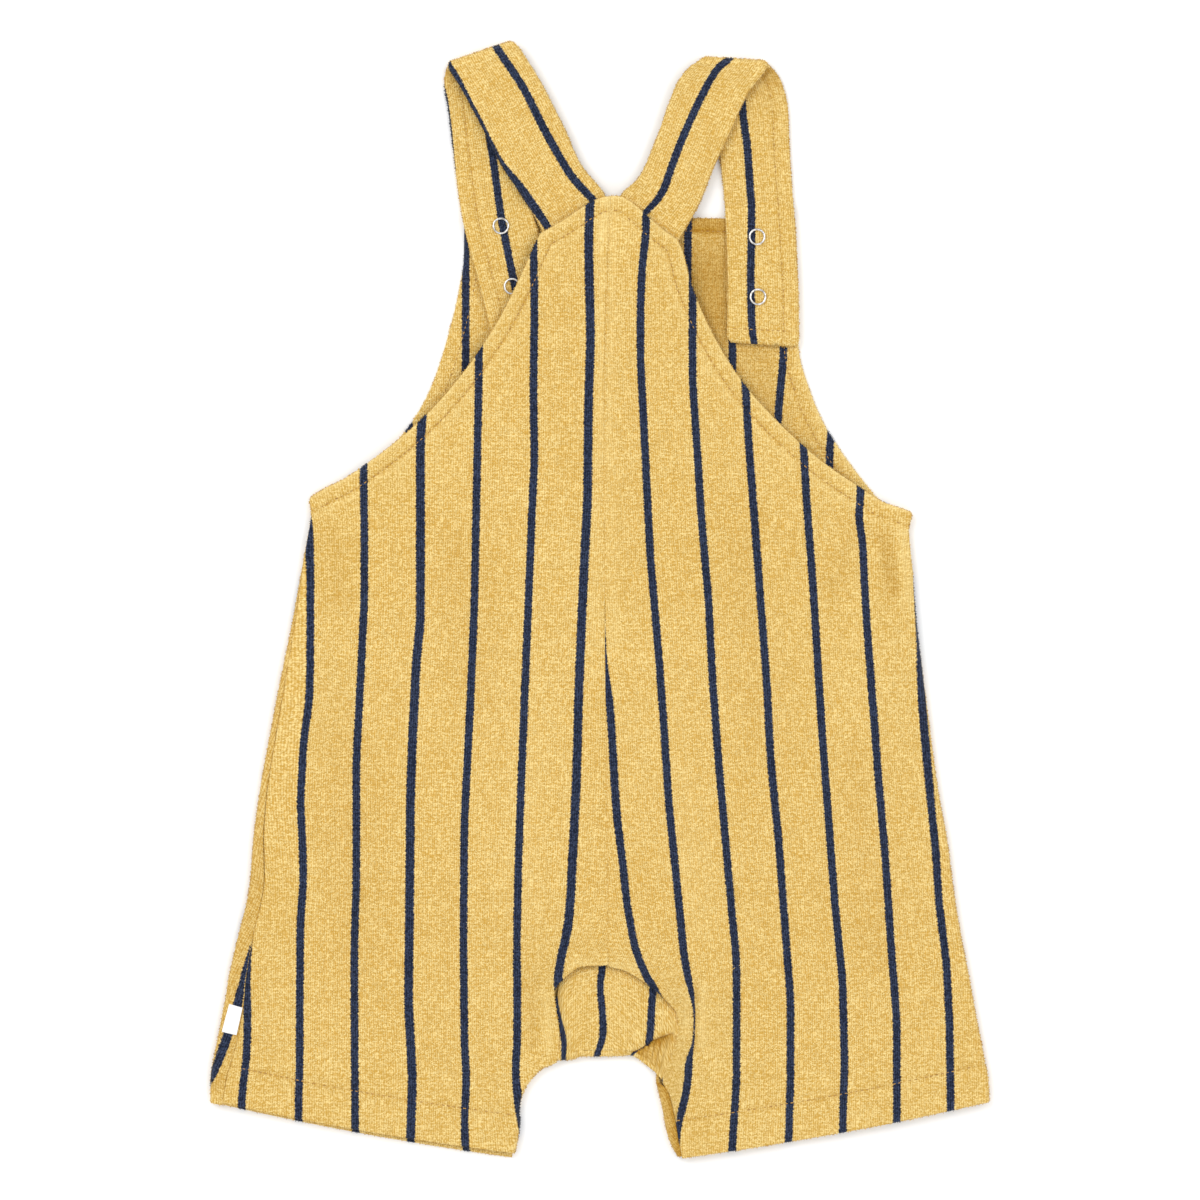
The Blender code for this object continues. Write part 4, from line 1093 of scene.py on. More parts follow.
RIGHT_STRAP_DOWN = table(
    "x y z across width",
    (58.0, 231.6, 1.4, -3.5, 32.6),
    (63.0, 221.9, 1.5, -2.0, 31.4),
    (65.6, 210.7, 1.4, 0.0, 30.8),
    (66.5, 193.5, 1.4, 1.0, 30.3),
    (68.2, 174.0, 1.5, 0.0, 29.5),
    (68.7, 166.4, 3.3, 0.0, 29.6),
    (69.4, 150.5, 3.3, 0.0, 30.0),
    (70.1, 129.0, 3.3, -1.0, 30.8),
    (70.1, 109.8, 3.3, -4.0, 31.2),
)
STRAP_SECTIONS = 18  # between two rows of a strap's table
STRAP_WALL = 1.15
STRAP_CORNER = 3.0
LEFT_FOLD_CORNER = (1.4, 3.0)  # where it turns over: sideways, lengthwise
RIGHT_FOLD_CORNER = (3.2, 6.5)
STRAP_END_ROUND = 1.4
STRAP_END_TURN = 5.8  # from the free end to its row of stitches
HOLLOW_EVERY = 4  # the tube's inside needs only every fourth section
FOLD_SHADE = (0.6, 14.0)  # how dark the painted shade under the fold is, and how far down it reaches


def strap_line(rows, fold_at, outward):
    """Stations of one leg of a strap, short of its fold."""
    marks = np.linspace(0, len(rows["x"]) - 1, STRAP_SECTIONS * (len(rows["x"]) - 1) + 1)
    size = {key: smooth(rows[key], marks) for key in rows}
    stations = []
    for x, y, z, across, width in zip(*size.values()):
        if np.dot(np.array([x, y]) - fold_at, outward) < -STRAP_FOLD_RADIUS - 0.4:
            stations.append(((x, y, z), across, width))
    return stations


def across_of(angle):
    """The direction across a strap, from the angle in degrees that it makes with X."""
    return np.array([math.cos(math.radians(angle)), math.sin(math.radians(angle)), 0.0])


def fold_of(up):
    """Where a strap turns over: its fold's middle, the direction along the fold and the one out of it."""
    side = across_of(up["across"][-1])[:2]
    return np.array([up["x"][-1], up["y"][-1]]), side, np.array([-side[1], side[0]])


def strap_stations(up, down):
    """(centre, across angle, width) along a strap: up, round the half circle of its fold, and down."""
    fold_at, side, outward = fold_of(up)
    before = strap_line(up, fold_at, outward)
    after = strap_line(down, fold_at, outward)
    middle_z = (up["z"][-1] + down["z"][0]) / 2
    slant = []
    for station in (before[-1], after[0]):
        away = np.array(station[0][:2]) - fold_at
        slant.append(np.dot(away, side) / np.dot(away, outward))
    arc = []
    for step in range(21):
        phi = math.pi * step / 20
        reach = STRAP_FOLD_RADIUS * (math.sin(phi) - 1)
        plan = fold_at + outward * reach + side * reach * slant[0 if step < 10 else 1]
        arc.append(((*plan, middle_z + STRAP_FOLD_RADIUS * math.cos(phi)), up["across"][-1], up["width"][-1]))
    return before, arc, after


def strap_outline(width, thick, groove_at=None):
    """A flat ring round the strap: rounded sides and two faces, with a groove along one row of stitches."""
    half, corner = width / 2, thick / 2
    turns = np.radians(np.linspace(-90, 90, 9))
    flat = np.linspace(-half + corner, half - corner, 27)[1:-1]
    level = np.full(len(flat), corner)
    if groove_at is not None:
        level = level - 0.3 * hump(flat - groove_at, 0.7)
    right = np.column_stack([half - corner + corner * np.cos(turns), corner * np.sin(turns)])
    top = np.column_stack([flat, level])[::-1]
    return np.concatenate([right, top, -right, np.column_stack([flat, -level])])


def taken_off(distance, corner):
    """How much a rounded corner, (sideways, lengthwise), takes off at this distance from the strap's end."""
    sideways, lengthwise = corner
    into = min(max(1 - distance / lengthwise, 0), 1)
    return sideways * (1 - math.sqrt(1 - into**2))


def tube_of(rings):
    """Faces of a tube through the rings, and of its two ends."""
    count, around = rings.shape[:2]
    index = np.arange(count * around).reshape(count, around)
    beside = np.roll(index, -1, axis=1)
    quads = np.stack([index[:-1], beside[:-1], beside[1:], index[1:]], axis=2).reshape(-1, 4)
    half = around // 2
    caps = []
    for ring in (index[0], index[-1]):
        for k in range(half - 1):
            caps.append([ring[k], ring[k + 1], ring[around - 2 - k], ring[around - 1 - k]])
    return np.concatenate([quads, caps])


def make_strap(name, up, down, stripes_up, stripes_down, stitched_side, fold_corner):
    """A flat tube, turned over at the shoulder. The stitches along it lie on one side, -1 or 1."""
    before, arc, after = strap_stations(up, down)
    stations = before + arc + after
    centres = np.array([s[0] for s in stations])
    headings = np.gradient(centres, axis=0)
    headings /= np.linalg.norm(headings, axis=1)[:, None]
    along = np.concatenate([[0], np.cumsum(np.linalg.norm(np.diff(centres, axis=0), axis=1))])
    folded_at = along[len(before) + len(arc) // 2]
    fold_at, _, outward = fold_of(up)
    outer, inner, places, painted_shading, seam = [], [], [], [], []
    for k, ((centre, across, width), heading) in enumerate(zip(stations, headings)):
        beyond, from_end = along[k] - folded_at, along[-1] - along[k]
        end = min(along[k], from_end)
        thick = STRAP * math.sqrt(max(1 - max(1 - end / STRAP_END_ROUND, 0) ** 2, 0.03))
        width = width - 2 * taken_off(end, (STRAP_CORNER, STRAP_CORNER))
        width = width - 2 * taken_off(np.dot(fold_at - centre[:2], outward), fold_corner)
        groove_at = stitched_side * (width / 2 - STRAP_TURN)
        side = across_of(across)
        normal = unit(np.cross(side, heading))
        ring = strap_outline(width, thick, groove_at if beyond > 0 else None)
        outer.append(np.array(centre) + ring[:, :1] * side + ring[:, 1:] * normal)
        if k % HOLLOW_EVERY == 0 and end > STRAP_CORNER:
            thin = strap_outline(width - 2 * STRAP_WALL, STRAP - 2 * STRAP_WALL)
            inner.append(np.array(centre) + thin[:, :1] * side + thin[:, 1:] * normal)
        knit_across = ring[:, 0] + np.where(ring[:, 1] > 0, 0, 2 * REPEAT)
        places.append(np.column_stack([knit_across, np.full(len(ring), along[k])]))
        # Painted shade on the lower leg under the fold, and along the groove of the stitches.
        shade = FOLD_SHADE[0] * hump(beyond, FOLD_SHADE[1]) if beyond > 2.5 else 0.0
        painted_shading.append(painted_groove_shade(ring[:, 0], groove_at, 0.3 if beyond > 0 else 0.0) + shade)
        if beyond > 6 and from_end > 4:
            seam.append(np.array(centre) + side * groove_at - normal * (STRAP / 2 - 0.3))
    outer, inner = np.array(outer), np.array(inner)
    hollow = tube_of(inner)[:, ::-1] + outer.shape[0] * outer.shape[1]
    flat, flat_inner = outer.reshape(-1, 3), inner.reshape(-1, 3)
    mesh = mesh_of(name, np.concatenate([flat, flat_inner]), np.concatenate([tube_of(outer), hollow]))
    face_out(mesh)
    piece = piece_of(name, mesh)
    going_up = np.repeat(along < folded_at, outer.shape[1])
    edge_up = lying_stripes(stripes_up, flat[:, 0], flat[:, 1])
    edge_down = lying_stripes(stripes_down, flat[:, 0], flat[:, 1])
    unseen = np.zeros(len(flat_inner))
    places = np.concatenate(places + [np.column_stack([unseen, unseen])])
    stripe_edge = np.concatenate([np.where(going_up, edge_up, edge_down), unseen + NO_STRIPE])
    lay_pattern(piece, places[:, 0], places[:, 1], stripe_edge, np.concatenate(painted_shading + [unseen]))
    centre, across, width = stations[int(np.argmin(np.abs(along - along[-1] + STRAP_END_TURN)))]
    lift = np.array([0, 0, STRAP / 2 + 0.05])
    reach = width / 2 - 2
    end_row = [np.array(centre) + across_of(across) * a + lift for a in np.linspace(-reach, reach, 12)]
    return piece, [seam, end_row]


def face_out(mesh):
    """Turns a closed outer skin outwards and leaves a hollow inside it facing the other way."""
    bm = bmesh.new()
    bm.from_mesh(mesh)
    if bm.calc_volume(signed=True) < 0:
        bmesh.ops.reverse_faces(bm, faces=bm.faces)
    bm.to_mesh(mesh)
    bm.free()


LABEL = table("x y", (-153.6, -175.2), (-156.2, -187.0), (-162.6, -185.6), (-159.4, -173.6))
LABEL_WALL = 0.2
LABEL_LEVELS = (5.58, 5.9)
LABEL_ROWS = 24


def make_label():
    """A short tape, folded double and sewn into the side seam by its two ends."""
    corners = [np.array(corner) for corner in zip(LABEL["x"], LABEL["y"])]
    low, high = LABEL_LEVELS
    radius = (high - low) / 2
    phi = np.linspace(0, math.pi, 9)[1:-1]
    rows, plans = [], []
    for i in range(LABEL_ROWS + 1):
        seam = corners[0] + (corners[1] - corners[0]) * i / LABEL_ROWS
        free = corners[3] + (corners[2] - corners[3]) * i / LABEL_ROWS
        reach = np.linalg.norm(free - seam) - radius - LABEL_WALL / 2
        flat = np.linspace(0, reach, 20)
        out = np.concatenate([flat, reach + radius * np.sin(phi), flat[::-1]])
        level = np.concatenate([0 * flat + high, (low + high) / 2 + radius * np.cos(phi), 0 * flat + low])
        droop = 0.55 * (out / reach) ** 2 - 0.12 * np.sin(math.pi * i / LABEL_ROWS) * out / reach
        rows.append(np.column_stack([seam + unit(free - seam) * out[:, None], level - droop]))
        across = np.cumsum(np.hypot(0.001, np.gradient(out)))
        plans.append(np.column_stack([across, np.full(len(out), i * 0.5)]))

    def edges(s):
        return [(s.from_hem, 0.08, 1), (s.from_top, 0.08, 1)]

    piece, plan, _, painted_shading = shell("label_tape", [Sheet(rows, plans)], edges, wall=LABEL_WALL)
    lay_pattern(piece, plan[:, 0], plan[:, 1], np.full(len(plan), NO_STRIPE), painted_shading)
    return piece


# ---- Sewing and pile ----

STITCH = 1.5
STITCH_PITCH = 2.35
STITCH_BOW = 0.22
THREAD = 0.2
# Stitches that show on the front's turned-round edge, below the label.
SIDE_SEAM = ((-154.4, -193.5), (-156.0, -201.0), (-157.8, -208.0), (-158.6, -213.0))


def laid_on(piece, line):
    """A line in plan, laid on the piece's upper side."""
    mesh = piece.data
    corners = [v.co[:] for v in mesh.vertices]
    tree = BVHTree.FromPolygons(corners, [p.vertices[:] for p in mesh.polygons], epsilon=0.0)
    laid = []
    for x, y in line:
        hit = tree.ray_cast(Vector((x * MM, y * MM, 0.05)), Vector((0, 0, -1)))[0]
        if hit is not None:
            laid.append((x, y, hit.z / MM))
    return laid


def stitch_shape():
    """One stitch along X, a unit long: a thread that dips at both ends, as (points, triangles)."""
    around = 6
    rings = [(-0.5, 0.0), (-0.46, 0.7), (-0.3, 1.0), (0.3, 1.0), (0.46, 0.7), (0.5, 0.0)]
    points = [(-0.5, 0, 0)]
    for place, size in rings[1:-1]:
        for k in range(around):
            turn = 2 * math.pi * k / around
            points.append((place, size * math.cos(turn), size * math.sin(turn)))
    points.append((0.5, 0, 0))
    faces = []
    for k in range(around):
        beside = (k + 1) % around
        faces.append((0, 1 + beside, 1 + k))
        for r in range(3):
            a, b = 1 + r * around + k, 1 + r * around + beside
            faces += [(a, b, b + around), (a, b + around, a + around)]
        faces.append((1 + 3 * around + k, 1 + 3 * around + beside, len(points) - 1))
    return np.array(points), np.array(faces)


def sew(name, rows, seed):
    """All the stitches of a piece as one mesh."""
    draw = np.random.default_rng(seed)
    shape, faces = stitch_shape()
    points, triangles, count = [], [], 0
    for row in rows:
        row = np.array(row)
        if len(row) < 2:
            continue
        place = np.concatenate([[0], np.cumsum(np.linalg.norm(np.diff(row, axis=0), axis=1))])
        for begin in np.arange(0.6, place[-1] - STITCH, STITCH_PITCH):
            begin = begin + draw.uniform(-0.12, 0.12)
            reach = (begin, begin + STITCH)
            first, last = np.stack([np.interp(reach, place, row[:, k]) for k in range(3)], axis=1)
            heading = (last - first) / STITCH
            aside = unit(np.cross((0, 0, 1), heading))
            upward = np.cross(heading, aside)
            dip = STITCH_BOW * (1 - (2 * shape[:, 0]) ** 2) - 0.12 - draw.uniform(-0.03, 0.24)
            lengthwise = np.outer(shape[:, 0] * STITCH, heading)
            sideways = np.outer(shape[:, 1] * THREAD * 1.2, aside)
            lifted = np.outer(shape[:, 2] * THREAD + dip, upward)
            points.append((first + last) / 2 + lengthwise + sideways + lifted)
            triangles.append(faces + count)
            count += len(shape)
    return piece_of(name, mesh_of(name, np.concatenate(points), np.concatenate(triangles)))


LOOP_HEIGHT = 0.55
LOOP_WIDTH = 0.42
LOOP_RINGS = 4
YARN = 0.075
YARN_SIDES = 3


def loop_faces():
    """Faces of one loop of yarn, whose points are numbered ring by ring."""
    faces = []
    for k in range(LOOP_RINGS - 1):
        for r in range(YARN_SIDES):
            a, b = k * YARN_SIDES + r, k * YARN_SIDES + (r + 1) % YARN_SIDES
            faces += [(a, b, b + YARN_SIDES), (a, b + YARN_SIDES, a + YARN_SIDES)]
    last = (LOOP_RINGS - 1) * YARN_SIDES
    return np.array(faces + [(0, 2, 1), (last, last + 1, last + 2)])


def fuzz(name, piece, count, seed):
    """Loops of the pile that stand out from a piece's edges, where its outline shows them."""
    draw = np.random.default_rng(seed)
    mesh = piece.data
    corners = [list(p.vertices) for p in mesh.polygons]
    place = read(mesh.vertices, "co", 3) / MM
    normal = read(mesh.polygons, "normal", 3)
    above_floor = read(mesh.polygons, "center", 3)[:, 2] > 0.0005
    side_on = np.clip(0.62 - np.abs(normal[:, 2]), 0, 1) * above_floor * read(mesh.polygons, "area")
    chosen = draw.choice(len(corners), size=count, p=side_on / side_on.sum())
    edge, painted_shading = (read(mesh.attributes[key].data, "value") for key in ("stripe_edge", "painted_shading"))
    knit = read(mesh.uv_layers["knit"].data, "uv", 2)
    turns = np.linspace(0, math.pi, LOOP_RINGS)
    grow = np.column_stack([np.cos(turns), np.sin(turns)])
    yarn = np.array([(math.cos(a), math.sin(a)) for a in (0.5, 2.6, 4.7)]) * YARN
    faces, size = loop_faces(), LOOP_RINGS * YARN_SIDES
    points, edges, places, painted_shading_of_loops = [], [], [], []
    for f in chosen:
        share = draw.dirichlet(np.ones(len(corners[f])))
        out = unit(normal[f] + draw.normal(0, 0.28, 3))
        lean = unit(np.cross(out, draw.normal(0, 1, 3)))
        tall = LOOP_HEIGHT * draw.uniform(0.45, 1.25)
        foot = share @ place[corners[f]]
        third = np.cross(lean, out)
        spine = foot + grow[:, :1] * LOOP_WIDTH / 2 * lean + (grow[:, 1:] * tall - 0.06) * out
        for k in range(LOOP_RINGS):
            flank = grow[k, 0] * lean + grow[k, 1] * out
            points.append(spine[k] + yarn[:, :1] * third + yarn[:, 1:] * flank)
        # Each loop takes the painted shading of the cloth it stands on.
        edges.append(np.full(size, share @ edge[corners[f]]))
        painted_shading_of_loops.append(np.full(size, share @ painted_shading[corners[f]]))
        first = mesh.polygons[f].loop_start
        places.append(np.tile(share @ knit[first : first + len(corners[f])], (size, 1)))
    points = np.concatenate(points)
    points[:, 2] = np.maximum(points[:, 2], 0.02 * (1 + np.arange(len(points)) % 5))
    faces = np.concatenate([faces + n * size for n in range(count)])
    made = piece_of(name, mesh_of(name, points, faces))
    places = np.concatenate(places) / MM
    lay_pattern(made, places[:, 0], places[:, 1], np.concatenate(edges), np.concatenate(painted_shading_of_loops))
    face_out(made.data)
    return made


# ---- Snap rings ----

SNAPS = {
    "snap_left_upper": (-42.6, 160.8),
    "snap_left_lower": (-37.8, 134.8),
    "snap_right_upper": (67.5, 156.1),
    "snap_right_lower": (67.9, 130.3),
}
SNAP_RADIUS = 3.2
SNAP_BAND = 0.42


def select_none():
    bpy.ops.object.select_all(action="DESELECT")


def make_snap_ring(name, place):
    """An open prong ring: a flattened band, pressed down on the cloth."""
    select_none()
    height = (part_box(name)[0].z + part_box(name)[1].z) / 2
    bpy.ops.mesh.primitive_torus_add(
        location=(place[0] * MM, place[1] * MM, height),
        major_radius=SNAP_RADIUS * MM,
        minor_radius=SNAP_BAND * MM,
        major_segments=72,
        minor_segments=14,
    )
    ring = bpy.context.active_object
    ring.name = name + "_ring"
    bpy.ops.object.mode_set(mode="EDIT")
    bpy.ops.mesh.select_all(action="SELECT")
    bpy.ops.transform.resize(value=(1, 1, 0.72))
    bpy.ops.object.mode_set(mode="OBJECT")
    bpy.ops.object.transform_apply(location=True, rotation=True, scale=True)
    ring.data.shade_smooth()
    return ring


# ---- Finishes ----


def linear(red, green, blue):
    """A colour given as it shows on screen, 0 to 255, as the shader takes it."""

    def one(c):
        c = c / 255
        return c / 12.92 if c <= 0.04045 else ((c + 0.055) / 1.055) ** 2.4

    return (one(red), one(green), one(blue), 1.0)


class Finish:
    """A material under construction: short names for the nodes it needs."""

    def __init__(self, name):
        self.material = bpy.data.materials.new(name)
        self.material.use_nodes = True
        self.tree = self.material.node_tree
        self.shader = self.tree.nodes["Principled BSDF"]

    def put(self, socket, value):
        """Links a socket to another node's, or sets it to a value."""
        if isinstance(value, bpy.types.NodeSocket):
            self.tree.links.new(value, socket)
        else:
            socket.default_value = value

    def node(self, kind, inputs=None, **settings):
        made = self.tree.nodes.new(kind)
        for key, value in settings.items():
            setattr(made, key, value)
        for key, value in (inputs or {}).items():
            self.put(made.inputs[key], value)
        return made

    def math(self, operation, one, two=0.0, clamp=False):
        return self.node("ShaderNodeMath", {0: one, 1: two}, operation=operation, use_clamp=clamp).outputs[0]

    def total(self, *shares):
        """The sum of (value, amount) pairs."""
        whole = 0.0
        for value, amount in shares:
            whole = self.math("ADD", self.math("MULTIPLY", value, amount), whole)
        return whole

    def scaled(self, vector, scale):
        return self.node("ShaderNodeVectorMath", {0: vector, 1: scale}, operation="MULTIPLY").outputs[0]

    def noise(self, vector, scale, detail=2.0, roughness=0.5, output="Fac"):
        inputs = {"Vector": vector, "Scale": scale, "Detail": detail, "Roughness": roughness}
        return self.node("ShaderNodeTexNoise", inputs).outputs[output]

    def cells(self, vector, randomness):
        """Cells a unit apart: (distance from the middle of each, an even random number for each)."""
        inputs = {"Vector": vector, "Scale": 1.0, "Randomness": randomness}
        made = self.node("ShaderNodeTexVoronoi", inputs, feature="F1")
        parts = self.node("ShaderNodeSeparateColor", {0: made.outputs["Color"]})
        return made.outputs["Distance"], parts.outputs[0]

    def spread(self, value, low, high, to_low=0.0, to_high=1.0):
        """The value from low to high, spread from 0 to 1 or over another range."""
        inputs = {"Value": value, "From Min": low, "From Max": high, "To Min": to_low, "To Max": to_high}
        return self.node("ShaderNodeMapRange", inputs, clamp=True).outputs["Result"]

    def blend(self, share, one, two, way="MIX"):
        inputs = {"Factor": share, 6: one, 7: two}
        return self.node("ShaderNodeMix", inputs, data_type="RGBA", blend_type=way).outputs[2]

    def attribute(self, name):
        return self.node("ShaderNodeAttribute", attribute_name=name).outputs["Fac"]

    def knit_place(self):
        return self.node("ShaderNodeUVMap", uv_map="knit").outputs["UV"]

    def object_place(self):
        return self.node("ShaderNodeTexCoord").outputs["Object"]

    def bump(self, height, distance, strength):
        made = self.node("ShaderNodeBump", {"Distance": distance, "Strength": strength, "Height": height})
        self.put(self.shader.inputs["Normal"], made.outputs["Normal"])

    def surface(self, colour, settings):
        """The colour, and the shader's own sockets by name."""
        for key, value in {"Base Color": colour, **settings}.items():
            self.put(self.shader.inputs[key], value)


MUSTARD_LOW = linear(206, 162, 74)
MUSTARD_HIGH = linear(247, 220, 149)
PAINTED_SHADE_TINT = linear(210, 188, 128)  # what the mustard is multiplied by where painted shade darkens it
NAVY_LOW = linear(19, 27, 46)
NAVY_HIGH = linear(60, 71, 97)
ROW_PITCH = 0.00162  # of the knit, in metres
COLUMN_PITCH = 0.00097


def towelling():
    """Looped towelling with stripes knitted in."""
    f = Finish("towelling")
    knit = f.knit_place()
    edge, painted_shading = f.attribute("stripe_edge"), f.attribute("painted_shading")
    wander = {0: f.noise(knit, 160, output="Color"), 1: (0.001, 0.002, 0), 2: knit}
    place = f.node("ShaderNodeVectorMath", wander, operation="MULTIPLY_ADD").outputs[0]

    loop_away, loop_tone = f.cells(f.scaled(place, (1550, 1900, 1)), 0.6)
    _, slub_tone = f.cells(f.scaled(place, (420, 2600, 1)), 1.0)
    _, wale_tone = f.cells(f.scaled(place, (1600, 190, 1)), 1.0)
    apart = f.node("ShaderNodeSeparateXYZ", {0: place})
    rows = f.math("SINE", f.math("MULTIPLY", apart.outputs[1], 2 * math.pi / ROW_PITCH))
    columns = f.math("SINE", f.math("MULTIPLY", apart.outputs[0], 2 * math.pi / COLUMN_PITCH))
    fine = f.noise(knit, 4200, 1.0)
    patches = f.noise(knit, 75, 3.0, 0.6)
    broad = f.noise(knit, 11, 2.0)

    height = f.total(
        (loop_away, -1.0), (loop_tone, 0.5), (slub_tone, 0.15), (fine, 0.3), (rows, 0.1), (columns, 0.25)
    )
    tone = f.total(
        (loop_tone, 0.95),
        (slub_tone, 0.3),
        (wale_tone, 0.12),
        (loop_away, -0.9),
        (rows, 0.1),
        (columns, 0.24),
        (f.spread(fine, 0.25, 0.75), 0.3),
        (f.spread(patches, 0.25, 0.75), 0.12),
        (f.spread(broad, 0.3, 0.7), 0.1),
    )
    tone = f.math("SUBTRACT", tone, 0.12, clamp=True)

    mustard = f.blend(tone, MUSTARD_LOW, MUSTARD_HIGH)
    # Painted shade darkens the mustard where the shading is above 0; below 0 a painted highlight lightens it.
    mustard = f.blend(painted_shading, mustard, PAINTED_SHADE_TINT, "MULTIPLY")
    mustard = f.blend(f.math("MULTIPLY", painted_shading, -1.0, clamp=True), mustard, MUSTARD_HIGH)
    navy = f.blend(f.spread(tone, 0.05, 0.95), NAVY_LOW, NAVY_HIGH)

    frayed = f.math("SUBTRACT", f.noise(place, 1150, 2.0, 0.7), 0.5)
    ragged = f.total((frayed, 0.75), (f.math("SUBTRACT", loop_tone, 0.5), 0.4))
    inside = f.spread(f.math("ADD", edge, ragged), 0.22, -0.22)
    f.bump(height, 0.0005, 0.7)
    f.surface(
        f.blend(inside, mustard, navy),
        {
            "Roughness": 0.95,
            "Specular IOR Level": 0.12,
            "Sheen Weight": 0.1,
            "Sheen Roughness": 0.5,
            "Sheen Tint": linear(250, 236, 190),
        },
    )
    return f.material


def sewing_thread():
    f = Finish("sewing_thread")
    ply = f.noise(f.scaled(f.object_place(), (2600, 2600, 900)), 1.0, 2.0)
    f.bump(ply, 0.0001, 0.6)
    colour = f.blend(f.spread(ply, 0.3, 0.7), linear(142, 100, 40), linear(200, 156, 84))
    f.surface(colour, {"Roughness": 0.7})
    return f.material


def white_tape():
    f = Finish("white_tape")
    knit = f.knit_place()
    ribs = f.noise(f.scaled(knit, (900, 5200, 1)), 1.0, 1.0)
    f.bump(ribs, 0.00012, 0.7)
    soil = f.spread(f.noise(knit, 300, 3.0), 0.3, 0.7)
    colour = f.blend(soil, linear(238, 236, 234), linear(252, 251, 250))
    f.surface(colour, {"Roughness": 0.62, "Sheen Weight": 0.15})
    return f.material


def polished_ring():
    f = Finish("polished_ring")
    mottle_and_painted_reflection = f.noise(f.object_place(), 900, 3.0, 0.6)
    f.bump(mottle_and_painted_reflection, 0.00004, 0.3)
    # The base colour's darker patches are painted reflection; the same noise gives the bumps and the
    # roughness.
    colour = f.blend(f.spread(mottle_and_painted_reflection, 0.35, 0.6), linear(168, 162, 154), linear(240, 240, 240))
    f.surface(colour, {"Roughness": f.spread(mottle_and_painted_reflection, 0.3, 0.7, 0.26, 0.42), "Metallic": 1.0})
    return f.material


def pale_floor():
    f = Finish("pale_floor")
    cloud = f.noise(f.object_place(), 2.0, 2.0)
    colour = f.blend(cloud, (0.93, 0.93, 0.93, 1), (0.95, 0.95, 0.95, 1))
    f.surface(colour, {"Roughness": 0.9, "Specular IOR Level": 0.1})
    return f.material


# ---- Floor, light and camera ----

CAMERA_HEIGHT = 2.0
SENSOR = 36.0  # in millimetres, like the lens
# name, place and size in metres, and power
LAMPS = (
    ("high_left", (-1.1, 0.9, 1.7), 1.4, 18.0),
    ("high_right", (1.2, 0.5, 1.8), 1.4, 10.0),
    ("low_front", (0.2, -1.6, 1.3), 1.2, 7.0),
)


def make_stage():
    """A pale floor under the romper, three soft lamps, a bright even sky, and a camera straight above."""
    select_none()
    bpy.ops.mesh.primitive_plane_add(size=6.0, location=(0, 0, 0))
    floor = bpy.context.active_object
    floor.name = "floor"
    bpy.ops.object.mode_set(mode="EDIT")
    bpy.ops.mesh.select_all(action="SELECT")
    bpy.ops.transform.translate(value=(0, 0, -0.0001))
    bpy.ops.object.mode_set(mode="OBJECT")
    floor.data.materials.append(pale_floor())
    for name, place, size, power in LAMPS:
        lamp = bpy.data.objects.new(name, bpy.data.lights.new(name, "AREA"))
        lamp.data.shape = "DISK"
        lamp.data.size = size
        lamp.data.energy = power
        lamp.location = place
        lamp.rotation_euler = (-Vector(place)).to_track_quat("-Z", "Y").to_euler()
        bpy.context.scene.collection.objects.link(lamp)
    world = bpy.data.worlds.new("studio")
    bpy.context.scene.world = world
    world.use_nodes = True
    sky = world.node_tree.nodes["Background"]
    sky.inputs["Color"].default_value = (1.0, 1.0, 1.0, 1)
    sky.inputs["Strength"].default_value = 0.8
    bpy.context.scene.view_settings.view_transform = "Standard"
    camera = bpy.data.objects.new("camera", bpy.data.cameras.new("camera"))
    camera.data.sensor_width = SENSOR
    camera.data.lens = SENSOR / (2 * HALF_CHART * STEP * MM) * CAMERA_HEIGHT
    camera.data.clip_start = 0.05
    camera.data.clip_end = 20.0
    camera.location = (0, 0, CAMERA_HEIGHT + BACK_MID * MM)
    bpy.context.scene.collection.objects.link(camera)
    bpy.context.scene.camera = camera


def left_widths(y):
    """The left half's fourth and last stripes were knitted a little wider."""
    share = np.ones((len(BACK_LEFT_STRIPES), len(y)))
    share[3] = share[6] = 1.14
    return share


def thigh_crease_width(y):
    """The share of each right stripe's width that shows: the second one sinks into the thigh's crease."""
    down = HALF_CHART - y / STEP
    share = np.ones((len(BACK_RIGHT_STRIPES), len(y)))
    share[1] = np.interp(down, THIGH_CREASE["down"], THIGH_CREASE["share"])
    return share


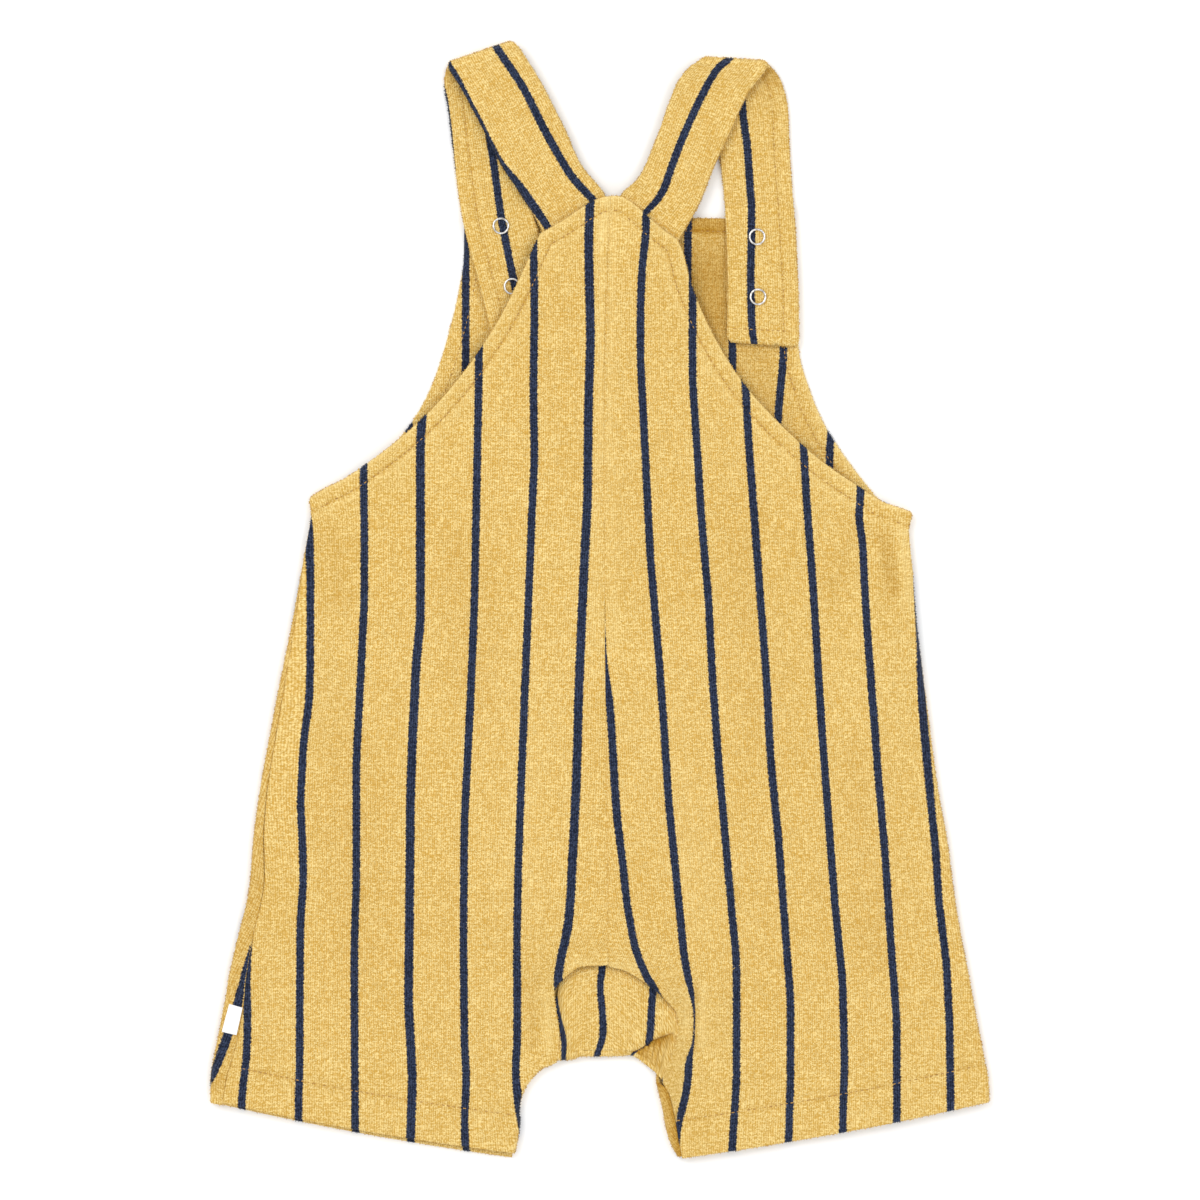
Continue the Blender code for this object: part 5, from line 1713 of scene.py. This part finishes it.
# For each cloth node: its flat size and area in metres, and how many loops fringe its edges. A strap's area
# is its flat size's own.
CUTS = {
    "front": ((0.372, 0.405), 0.0984, 4200),
    "back_left": ((0.158, 0.391), 0.0453, 3200),
    "back_right": ((0.158, 0.391), 0.0457, 3200),
    "gusset": ((0.056, 0.06), 0.0027, 500),
    "strap_left": ((0.063, 0.205), None, 2000),
    "strap_right": ((0.063, 0.196), None, 2000),
}
STITCH_SEED = 20
PILE_SEED = 40


def dress(piece, material):
    """Gives a piece its material and its body."""
    piece.data.materials.append(material)
    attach(piece, "root")


def main():
    cloth, thread, tape, metal = towelling(), sewing_thread(), white_tape(), polished_ring()
    centre = centre_rail("back")
    left = rail(LEFT_SIDE, BACK_LEFT_ARMHOLE), rail(LEFT_LEG, BACK_LEFT_GUSSET, centre)
    right = rail(RIGHT_SIDE, BACK_RIGHT_ARMHOLE), rail(RIGHT_LEG, BACK_RIGHT_GUSSET, centre)
    left_strap = LEFT_STRAP_UP, LEFT_STRAP_DOWN, LEFT_STRAP_STRIPES, LEFT_STRAP_DOWN_STRIPES
    right_strap = RIGHT_STRAP_UP, RIGHT_STRAP_DOWN, RIGHT_STRAP_STRIPES, RIGHT_STRAP_DOWN_STRIPES
    made = {
        "front": make_front(),
        "back_left": make_back_half("back_left_cloth", *left, BACK_LEFT_STRIPES, left_widths),
        "back_right": make_back_half("back_right_cloth", *right, BACK_RIGHT_STRIPES, thigh_crease_width),
        "gusset": (make_gusset(), []),
        "strap_left": make_strap("strap_left_cloth", *left_strap, -1, LEFT_FOLD_CORNER),
        "strap_right": make_strap("strap_right_cloth", *right_strap, 1, RIGHT_FOLD_CORNER),
    }
    for seed, (node, (piece, rows)) in enumerate(made.items()):
        flat, area, loops = CUTS[node]
        beside = [fuzz(node + "_pile", piece, loops, PILE_SEED + seed)]
        dress(beside[0], cloth)
        if rows:
            beside.append(sew(node + "_stitches", rows, STITCH_SEED + seed))
            dress(beside[1], thread)
        dress(piece, cloth)
        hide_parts(node)
    label = make_label()
    dress(label, tape)
    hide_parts("label")
    for name, place in SNAPS.items():
        ring = make_snap_ring(name, place)
        dress(ring, metal)
        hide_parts(name)
    make_stage()


main()
